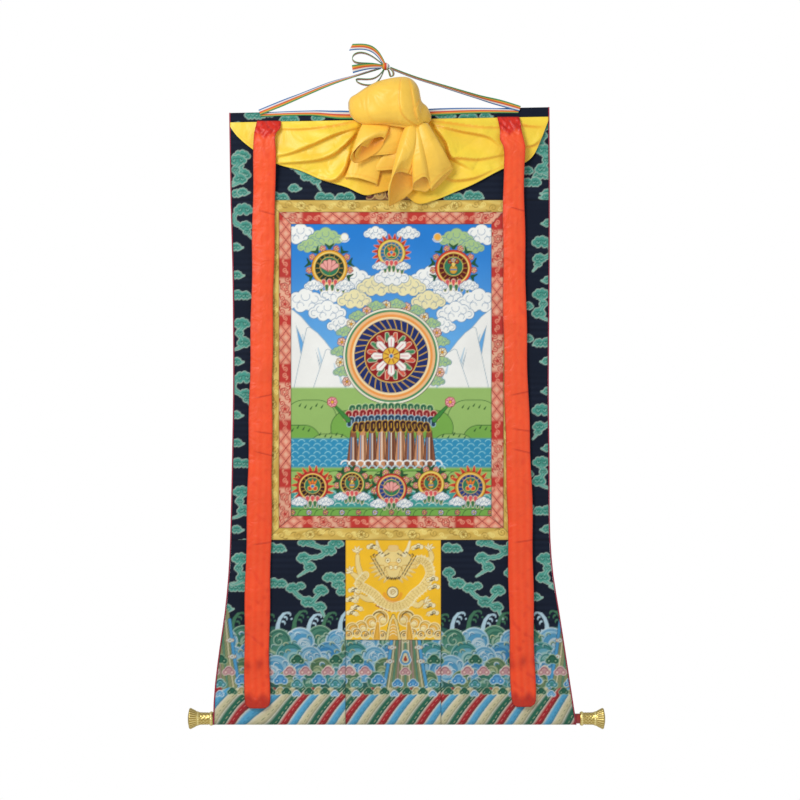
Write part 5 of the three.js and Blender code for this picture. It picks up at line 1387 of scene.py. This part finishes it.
# the red streamers
streamers = {  # silk satin: its long floats give a broad soft shine, creased where it was folded
    "thickness": 2.4, "bow": 2.5, "satin": "#fb5525", "light": "#ff7440", "edge": "#ee3a08",
    "cuff": "#d81408", "dark": "#a50a04",
    # where the painted crease shadows cross each streamer: share of its length, and lean
    "creases": ((0.155, 0.01), (0.47, -0.008), (0.53, 0.006), (0.565, 0.01), (0.72, -0.006)),
    "threads": {"roughness": 0.38, "sheen": 0.1, "specular": 0.4, "thread": 0.9, "threadShade": 0.04,
                "weaveBump": 0.2, "patchSize": 50, "unevenness": 0.06, "creases": 0.5, "creaseSize": 22},
    "left": {
        "z": (-110, -118, -128, -138, -171, -205, -268, -468, -668, -868, -988, -1148, -1262, -1278, -1284),
        "left": (-257, -258, -260, -261.5, -263, -264, -265, -268, -272, -276, -279, -282, -281, -279,
                 -271),
        "right": (-209.5, -208.5, -211, -219.5, -219, -219.5, -220, -224, -226, -227, -229, -232, -231,
                  -233, -241),
        "off": (3.1, 7, 12, 14.5, 15, 12, 5, 4.5, 4.5, 5, 5, 5, 4, 4, 4)},
    "right": {
        "z": (-102, -110, -118, -130, -148, -166, -205, -268, -468, -608, -752, -868, -1148, -1259, -1275,
              -1281),
        "left": (223, 225, 226.5, 229, 228.5, 235.5, 235.5, 235, 235, 237, 240, 243, 248, 251, 254, 261),
        "right": (267, 269, 270, 271, 275, 278, 277, 277.5, 281, 284, 289, 293, 297, 300, 298, 290),
        "off": (3.1, 7.5, 10.5, 13, 16.5, 19, 14, 5, 4.5, 4.5, 4.5, 5, 5, 4, 4, 4)},
}


# uneven light and dark from crossed waves, about -1 to 1; no two periods agree
def crumple(u, v, scale, seed):
    a = np.sin(u * 5.1 * scale + 3.3 * np.sin(v * 61 * scale + seed) + seed)
    b = np.sin(v * 173 * scale + 2.6 * np.sin(u * 7.7 * scale + 2 * seed) - seed)
    c = np.sin((u * 11 - v * 287) * scale + 1.7 * np.sin(v * 97 * scale - seed))
    return (a + b + c) / 3


def paintStreamer(u, v, seed):
    cloth = newPattern(u, v, streamers["satin"])
    edge = smoothstep(np.abs(u - 0.5), 0.3, 0.5)
    wash(cloth, 0.7 * edge, streamers["edge"])
    wash(cloth, 0.55 * smoothstep(v, 0.3, 0.95), streamers["edge"])
    # painted sheen: soft lighter streaks down the satin
    sheenStreak = 0.5 + 0.5 * np.sin(u * 23 + seed + 1.2 * np.sin(v * 9 + seed))
    wash(cloth, 0.16 * sheenStreak, streamers["light"])
    # painted shade of crumples: dark mottling over the satin, heaviest near its foot
    crumpleShade = np.clip(crumple(u, v, 1, seed) - 0.35, 0, 1) * 1.6
    wash(cloth, 0.22 * np.clip(crumpleShade, 0, 1) * smoothstep(0.16 - np.abs(v - 0.9), 0, 0.16),
         streamers["dark"])
    wash(cloth, 0.2 * np.clip(crumpleShade, 0, 1), streamers["cuff"])
    # a painted crease shadow across the satin near its foot
    band = np.exp(-((v - 0.925 - 0.004 * np.sin(u * 5 + seed)) / 0.009) ** 2)
    wash(cloth, 0.55 * band * (0.6 + 0.4 * np.sin(u * 13 + seed)), streamers["dark"])
    # painted shade over the gathered top, darkest in its crumples
    cuff = 1 - smoothstep(v + 0.004 * np.sin(u * 9 + seed), 0.022, 0.031)
    wash(cloth, 0.85 * cuff, streamers["cuff"])
    wash(cloth, cuff * np.clip(crumple(u, v, 2.3, seed + 1), 0, 1) * 0.9, streamers["dark"])
    # painted shade along the rolled foot
    wash(cloth, 0.7 * smoothstep(v + 0.004 * np.sin(u * 11), 0.972, 0.988), streamers["dark"])
    # painted shadow lines along the creases
    for at, lean in streamers["creases"]:
        creaseShade = np.exp(-((v - at - lean * (u - 0.5)) / 0.0012) ** 2) * smoothstep(u, 0.15, 0.5)
        wash(cloth, 0.6 * creaseShade, streamers["dark"])
    return cloth["dye"]


def makeStreamers():
    satin = clothMaterial("redSatin", streamers["threads"])
    for seed, side in enumerate(("left", "right")):
        table = streamers[side]
        topZ, bottomZ = table["z"][0], table["z"][-1]

        def place(u, v, face):
            z = lerp(topZ, bottomZ, v)
            left, right = readColumn(table, "z", "left", z), readColumn(table, "z", "right", z)
            full = streamers["bow"] * 4 * u * (1 - u) * np.minimum(v * 8, 1)
            ends = np.exp(-((v - 0.015) / 0.02) ** 2) + np.exp(-((v - 0.985) / 0.014) ** 2)
            folds = 1.5 * ends * crumple(u, v, 1.6, seed) + 0.5 * crumple(u, v, 0.4, seed)
            off = readColumn(table, "z", "off", z) + full + streamers["thickness"] * (1 - face)
            edges = 0.8 * np.sin(v * 41 + seed + 5 * u) * (2 * u - 1) * np.minimum(v * 30, 1)
            return np.stack([lerp(left, right, u) + edges, frontY - off - folds, z], axis=1)
        dyedAndShadedCloth(f"streamer_{side}", satin, "streamer", 28, 590, place,
                  lambda u, v, seed=seed: paintStreamer(u, v, seed), streamers["edge"],
                  lambda u, v: (u, v), flat=(0.048, (topZ - bottomZ) / 1000), held="hung",
                  rests_on=["brocade_top"])
    print("streamers done")


# the yellow veil, rolled up and tied in the middle
veil = {  # thin silk: a fine sheen and almost no weave; the warm orange in its folds and hollows is painted shade
    "thickness": 1.2, "topDrop": 19.5, "fallsFree": 26, "standOff": 3.0, "flatSize": (0.64, 0.32),
    "silk": "#ffce4c", "light": "#fbdc40", "deep": "#f69012",
    "threads": {"roughness": 0.4, "sheen": 0.25, "specular": 0.45, "thread": 0.8, "threadShade": 0.03,
                "weaveBump": 0.12, "patchSize": 70, "unevenness": 0.06, "creases": 0.9, "creaseSize": 44},
}
veilHem = {
    "x": (-311, -297, -265, -219, -171, -129, -77, -42, -15, 25, 63, 97, 137, 177, 235, 277, 297, 313, 326),
    "z": (-121, -140, -167, -195, -209, -227, -243, -258, -254, -248, -275, -269, -253, -236, -206, -194,
          -177, -142, -108),
}
veilFolds = (  # pleats from the middle out to the corners: their line, lift, reach above and reach below
    (((-64, -108), (-110, -118), (-180, -124), (-262, -120)), 6, 26, 3.0),
    (((-58, -122), (-100, -134), (-150, -156), (-190, -172), (-226, -180)), 11, 20, 3.2),
    (((-64, -138), (-86, -160), (-112, -178), (-150, -188), (-226, -194)), 13, 14, 3.0),
    (((-72, -172), (-84, -205), (-104, -226), (-134, -224)), 9, 16, 3.4),
    (((-77, -196), (-92, -222), (-118, -232)), 6, 8, 2.6),
    (((88, -106), (130, -112), (200, -120), (290, -118)), 5, 14, 3.0),
    (((92, -114), (150, -128), (206, -140), (238, -166)), 10, 24, 3.4),
    (((100, -122), (122, -152), (134, -182), (176, -206)), 12, 26, 3.0),
    (((124, -182), (150, -182), (190, -184), (252, -172)), 6, 14, 3.0),
    (((112, -214), (136, -226), (176, -222), (214, -206)), 7, 18, 3.0),
    (((262, -112), (290, -118), (322, -120)), 3, 8, 2.6),
    (((270, -160), (296, -156), (316, -140)), 4, 10, 2.6),
)
bundle = {
    "x": (-74, -70, -58, -42, -18, 8, 31, 47, 60, 67, 71, 83, 91),
    "top": (-73, -64, -56, -45, -32, -25, -22, -24, -34, -48, -69, -82, -99),
    "bottom": (-84, -98, -110, -116, -116, -115, -118, -121, -122, -121, -120, -116, -108),
    "depth": (12, 28, 44, 54, 64, 70, 70, 66, 58, 50, 42, 30, 12),
    "backOff": 1.9,
    "bands": (  # a fold's edge down the bundle, how far it stands up on its right and how wide it is
        (((32, -20), (28, -59), (31, -87), (38, -100), (49, -110), (61, -117)), 4.5, 22),
        (((46, -22), (51, -40), (56, -69), (59, -92), (65, -106)), 4.0, 20),
        (((68, -70), (61, -84), (64, -104)), 4.5, 18),
        (((-70, -70), (-58, -60), (-50, -62), (-46, -78)), 1.6, 24),
        (((-34, -44), (-38, -70), (-34, -96), (-20, -112)), 1.4, 26),
    ),
}
# the rolled folds under the tie: root (x, z, forward, half width, radius), mouth (x, z, forward),
# half width, half height, turn in degrees, lip, swell, flutes, phase, how much painted shade inside, how
# pointed
horns = (
    ((-14, -114, 8, 24, 6), (-49, -231, 10), 33, 5, -13, 8, 4, 0.06, 1.1, 0.25, 0.0),
    ((44, -118, 10, 12, 8), (4, -214, 10), 32, 6, 0, 9, 8, 0.08, 3.0, 0.3, 0.0),
    ((20, -114, 20, 20, 11), (-9, -189, 16), 41, 12, 9, 12, 6, 0.05, 5.0, 0.1, -0.1),
    ((-14, -116, 22, 12, 8), (-50, -172, 38), 15, 9, 50, 7, 8, 0.05, 2.2, 0.5, 0.0),
    ((-18, -113, 24, 26, 10), (-38, -168, 42), 39, 16, 34, 12, 10, 0.06, 0.4, 0.75, 0.2),
    ((52, -118, 34, 11, 12), (27, -247, 36), 37, 22, 58, 20, 14, 0.04, 1.6, 0.5, 0.6),
    ((62, -118, 30, 9, 11), (73, -238, 33), 18, 14, 12, 14, 14, 0.08, 2.8, 0.4, 0.1),
    ((72, -116, 30, 13, 13), (112, -229, 22), 30, 4, 45, 10, 16, 0.05, 0.2, 0.2, 0.0),
)
strap = {"points": ((-34, -117, 30), (-6, -114, 37), (26, -117, 41), (50, -122, 40), (64, -124, 34)),
         "radius": 4.2}


# signed distance from a smooth line, positive on the left of its direction, and the share along it
def nearestOnLine(points, x, z, steps=28):
    line = smoothLine(points, steps)
    nearest, along = np.full(x.shape, 1e9), np.zeros(x.shape)
    signed = np.zeros(x.shape)
    for i in range(steps):
        (ax, az), (dx, dz) = line[i], line[i + 1] - line[i]
        t = np.clip(((x - ax) * dx + (z - az) * dz) / (dx * dx + dz * dz), 0, 1)
        gap = np.hypot(x - ax - t * dx, z - az - t * dz)
        closer = gap < nearest
        side = np.sign(dx * (z - az) - dz * (x - ax))
        nearest = np.where(closer, gap, nearest)
        signed = np.where(closer, gap * side, signed)
        along = np.where(closer, (i + t) / steps, along)
    return signed, along


# A fold that rises slowly to its line and turns back sharply under it: its lift and its shadow
def pleat(fold, x, z):
    points, lift, above, below = fold
    distance, along = nearestOnLine(points, x, z)
    up = distance if points[0][0] < points[-1][0] else -distance
    taper = np.sin(pi * np.clip(0.18 + 0.82 * along, 0, 1)) ** 0.6
    height = np.where(up > 0, np.exp(-(up / above) ** 1.3), np.exp(-(up / below) ** 2))
    shadow = np.where(up < 0, np.exp(-((up + 2.5) / 4) ** 2), 0)
    return lift * taper * height, taper * shadow


def wingShape(u, v):  # the two wings: points, and how far each turns deep orange: painted shade under the pleats and in the middle, and the hem's stitched line
    x = lerp(veilHem["x"][0], veilHem["x"][-1], u)
    topZ = topEdge(x) - veil["topDrop"]
    z = lerp(topZ, readColumn(veilHem, "x", "z", x), v)
    below = smoothstep(topZ - z, 0, veil["fallsFree"])
    off = 0.75 + 1.3 * np.exp(-(((x - 20) / 80) ** 2)) + veil["standOff"] * below
    shade = np.zeros(len(x))
    for fold in veilFolds:
        lift, shadow = pleat(fold, x, z)
        off = off + lift * (0.25 + 0.75 * below)
        shade = np.maximum(shade, shadow)
    off = off + 0.9 * below * np.sin(x / 13 + z / 9) * np.sin(z / 17 - x / 41)
    fromHem = (1 - v) * (topZ - readColumn(veilHem, "x", "z", x))
    shade = np.maximum(0.62 * shade, 0.3 * np.exp(-((fromHem - 6) / 1.6) ** 2))
    # painted warm shade near the middle, where the wings gather, and in soft slanting bands
    warmShade = 0.28 * smoothstep(110 - np.abs(x - 10), 0, 90) + 0.14 * (0.5 + 0.5 * np.sin(x / 31 + z / 14))
    return np.stack([x, frontY - off - veil["thickness"] / 2, z], axis=1), np.maximum(shade, warmShade * below)


def bundleShape(u, v):
    x = lerp(bundle["x"][0], bundle["x"][-1], u)
    top, bottom, depth = (readColumn(bundle, "x", name, x) for name in ("top", "bottom", "depth"))
    angle = np.radians(lerp(-80, 260, v))
    sine, cosine = np.sin(angle), np.cos(angle)
    outward = np.sign(sine) * np.abs(sine) ** np.where(sine > 0, 0.9, 0.35)
    upward = np.sign(cosine) * np.abs(cosine) ** 0.8
    y = frontY - bundle["backOff"] - (depth / 2) * (1 + outward)
    z = (top + bottom) / 2 + (top - bottom) / 2 * upward
    lift, shade = np.zeros(len(x)), np.zeros(len(x))
    for points, height, wide in bundle["bands"]:
        distance = nearestOnLine(points, x, z)[0]
        lift += height * smoothstep(distance, -1.2, 1.6) * np.exp(-np.maximum(distance, 0) / wide)
        shade = np.maximum(shade, 0.45 * np.exp(-((distance + 1.0) / 1.8) ** 2) * np.minimum(height / 5, 1))
    lift += 1.2 * np.sin(x / 11 + z / 19) * np.sin(z / 13)
    front = np.clip(sine, 0, 1) ** 0.5
    y = y - lift * front * 0.9
    z = z + lift * front * 0.15 * upward
    # painted shade on the bundle's underside
    undersideShade = smoothstep(v, 0.72, 0.85)
    return np.stack([x, y, z], axis=1), np.maximum(shade * front, 0.5 * undersideShade)


def hornShape(horn):
    root, mouth, wideEnd, tallEnd, turn, lip, swell, flute, phase, insideShading, point = horn

    def shape(u, v):
        angle = 2 * pi * u
        spread = v ** 0.85
        wavy = 1 + flute * v ** 1.5 * (np.cos(3 * angle + phase) + 0.6 * np.cos(5 * angle - 2 * phase))
        wide = lerp(root[3], wideEnd, spread) * wavy
        tall = lerp(root[4] * 0.2, tallEnd, spread ** 2) * wavy
        deep = lerp(root[4], lip, v ** 1.5) * wavy
        lean = math.radians(turn) * v
        across, up = wide * np.cos(angle), tall * np.sin(angle) * (1 + point * v * np.cos(angle))
        x = lerp(root[0], mouth[0], v) + across * np.cos(lean) - up * np.sin(lean)
        z = lerp(root[1], mouth[1], v) + across * np.sin(lean) + up * np.cos(lean)
        groove = 1.1 * v * (1 - v) * 4 * np.abs(np.sin(2.5 * angle + phase))
        forward = lerp(root[2], mouth[2], v) + swell * np.sin(pi * v) + (deep - groove) * np.sin(angle)
        inside = smoothstep(-np.sin(angle), -0.25, 0.25) * smoothstep(v, 0.2, 0.5)
        hem = 0.35 * np.exp(-((v - 0.94) / 0.012) ** 2)
        # painted shade inside each roll's back wall, lighter towards the mouth
        insideShade = insideShading * inside * (1 - 0.5 * smoothstep(v, 0.7, 1))
        return np.stack([x, frontY - forward, z], axis=1), np.maximum(insideShade, hem)
    return shape


def strapShape(u, v):
    line = smoothLine(strap["points"], 60)
    along = np.stack([np.interp(u * 60, np.arange(61), line[:, i]) for i in range(3)], axis=1)
    radius, angle = strap["radius"] * np.sin(pi * np.clip(0.04 + 0.92 * u, 0, 1)) ** 0.4, 2 * pi * v
    points = np.stack([along[:, 0], frontY - along[:, 2] - radius * np.cos(angle),
                       along[:, 1] + radius * np.sin(angle)], axis=1)
    # painted shade on the strap's underside
    return points, 0.3 * smoothstep(-np.sin(angle), 0.1, 0.9)


def addShape(bm, columns, rows, shape):
    made, u, v = addGrid(bm, columns, rows)
    points, shade = shape(u, v)
    # outlines are laid out as seen from the camera's distance: what stands forward is drawn in to suit
    keep = 1 - np.clip(frontY - points[:, 1], 0, None) / (studio["distance"] * 1000)
    for i, middle in ((0, studio["centreX"] * 1000), (2, studio["centreZ"] * 1000)):
        points[:, i] = middle + (points[:, i] - middle) * keep
    moveTo(made, points)
    return shade


def makeVeil():
    silk = clothMaterial("veilSilk", veil["threads"])
    bm = bmesh.new()
    plain, deep, light = (linearColour(veil[name]) for name in ("silk", "deep", "light"))
    colours = []
    for columns, rows, shape, body in ((250, 60, wingShape, light), (90, 90, bundleShape, plain),
                                       (40, 16, strapShape, plain),
                                       *((56, 44, hornShape(horn), plain) for horn in horns)):
        shade = addShape(bm, columns, rows, shape)
        # each shape's painted shade and hem lines turn the silk towards the deep orange
        colours.append(lerp(body, deep, shade[:, None]))
    finishShell("veil", bm, np.concatenate(colours), veil["thickness"], silk, "veil", flat=veil["flatSize"],
                held="gathered", rests_on=["brocade_top"])
    print("veil done")


# the five-colour ribbon
ribbon = {  # grosgrain woven in five colours: dull, with a close rib across it
    "thickness": 1.0, "lengths": {"left": 262, "right": 277, "lower": 517},
    "stripes": ("#2f6fb5", "#f2f0e8", "#d8402a", "#f0a030", "#3d9a58"),
    "threads": {"roughness": 0.55, "sheen": 0.25, "specular": 0.35, "thread": 0.8, "threadShade": 0.12,
                "weaveBump": 0.4, "patchSize": 30, "unevenness": 0.08},
    "left": {"x": (-10.2, -66, -111, -171, -214, -252), "y": (-27.2, -30, -32, -36, -38.6, -37),
             "z": (-3.2, -20.5, -35, -60, -78, -93), "width": (12, 15, 16, 15, 13, 11),
             "turn": (68, 68, 56, 45, 16, 0)},
    "right": {"x": (9.4, 57, 109, 189, 232, 269), "y": (-28, -30, -32, -36, -38.6, -37),
              "z": (-3, -21.5, -38, -63, -75, -85.5), "width": (12, 14, 15, 15, 13, 11),
              "turn": (77, 78, 76, 64, 24, 0)},
    "lower": {"x": (-250, -151, -91, 0, 109, 189, 266), "y": (-35.1,) * 7,
              "z": (-97, -94, -97.5, -97.5, -91.5, -89, -90), "width": (8, 10, 17, 16, 14, 11, 8),
              "turn": (0,) * 7},
    "knot": {"y": -29, "wide": 7.6, "deep": 7, "tall": 7},
}
bowLoops = (  # reach, aim, bend, opening, width, turn, forward
    (78, 152, 17, 7, 15, 10, 12),
    (68, 166, 5, 22, 13, 82, 10),
    (66, 188, 3, 6, 16, 8, 26),
    (66, 208, -16, 14, 12, 80, 14),
    (26, 302, -3, 9, 9, 62, 15),
)


def stripeColours(u):
    colours = np.array([linearColour(value) for value in ribbon["stripes"]])
    place = np.clip(u * 5 - 0.5, 0, 4)
    low = np.clip(np.floor(place).astype(int), 0, 3)
    blend = smoothstep(place - low, 0.35, 0.65)[:, None]
    return lerp(colours[low], colours[low + 1], blend)


def runPlace(table, v):  # middle points of a ribbon run, its direction, width and turn at each v
    t = np.clip(v, 0, 1)
    rows = np.stack([table[name] for name in ("x", "y", "z")], axis=1)
    line = smoothLine(rows, 400)
    tangents = unit(np.gradient(line, axis=0))
    keys = np.linspace(0, 1, 401)
    point = np.stack([np.interp(t, keys, line[:, i]) for i in range(3)], axis=1)
    tangent = unit(np.stack([np.interp(t, keys, tangents[:, i]) for i in range(3)], axis=1))
    marks = np.linspace(0, 1, len(table["x"]))
    width, turn = (np.interp(t, marks, table[name]) for name in ("width", "turn"))
    return point, tangent, width, np.radians(turn)


def ribbonRunPlace(table):
    def place(u, v):
        point, tangent, width, turn = runPlace(table, v)
        flat = unit(np.cross(tangent, np.array([0, -1.0, 0])))
        across = flat * np.cos(turn)[:, None] + np.cross(tangent, flat) * np.sin(turn)[:, None]
        return point + across * ((u - 0.5) * width)[:, None]
    return place


def bowPlace(loop):
    reachEnd, aim, bend, opening, widthEnd, turn, forward = loop
    aim, turn = math.radians(aim), math.radians(turn)
    out = np.array([math.cos(aim), 0, math.sin(aim)])
    side = np.array([math.sin(aim), 0, -math.cos(aim)])
    front = np.array([0, -1.0, 0])
    across = side * math.cos(turn) + front * math.sin(turn)
    apart = front * math.cos(turn) - side * math.sin(turn)
    knot = np.array([0, ribbon["knot"]["y"], 0])

    def place(u, v):
        t = lerp(0.004, 0.996, v)
        reach = reachEnd * np.abs(np.sin(pi * t)) ** 0.8
        curl = np.sin(pi * reach / reachEnd)
        middle = (knot + reach[:, None] * out + bend * curl[:, None] * side
                  + (forward * reach / reachEnd)[:, None] * front
                  + (opening / 2 * np.sin(2 * pi * t))[:, None] * apart)
        width = widthEnd * (0.4 + 0.6 * np.sin(pi * t) ** 0.6)
        return middle + across * ((u - 0.5) * width)[:, None]
    return place


def makeRibbon():
    woven = clothMaterial("stripedRibbon", ribbon["threads"])

    def finish(name, bm, colours, flat):
        finishShell(name, bm, colours, ribbon["thickness"], woven, "ribbon", flat=flat, held="hung",
                    rests_on=["brocade_top"])

    def add(bm, columns, rows, place):
        made, u, v = addGrid(bm, columns, rows)
        moveTo(made, place(u, v))
        return u, v
    for side, length in ribbon["lengths"].items():
        bm = bmesh.new()
        u, v = add(bm, 15, round(length / 3), ribbonRunPlace(ribbon[side]))
        finish(f"ribbon_{side}", bm, stripeColours(u if side == "lower" else 1 - u),
               (0.0135, length / 1000))
    bm = bmesh.new()
    colours = [stripeColours(add(bm, 15, 90, bowPlace(loop))[0]) for loop in bowLoops]
    knot = ribbon["knot"]

    def knotPlace(u, v):
        tilt, turn = pi * lerp(0.06, 0.94, v), 2 * pi * u
        return np.stack([knot["wide"] * np.cos(tilt),
                         knot["y"] + knot["deep"] * np.sin(tilt) * np.cos(turn),
                         knot["tall"] * np.sin(tilt) * np.sin(turn)], axis=1)
    colours.append(stripeColours(add(bm, 36, 20, knotPlace)[1]))
    finish("ribbon_bow", bm, np.concatenate(colours), (0.014, 0.6))
    print("ribbon done")


makeStudio()
makeBrocade()
makePicture()
dressCadPieces()
makeFinials()
makeStreamers()
makeVeil()
makeRibbon()
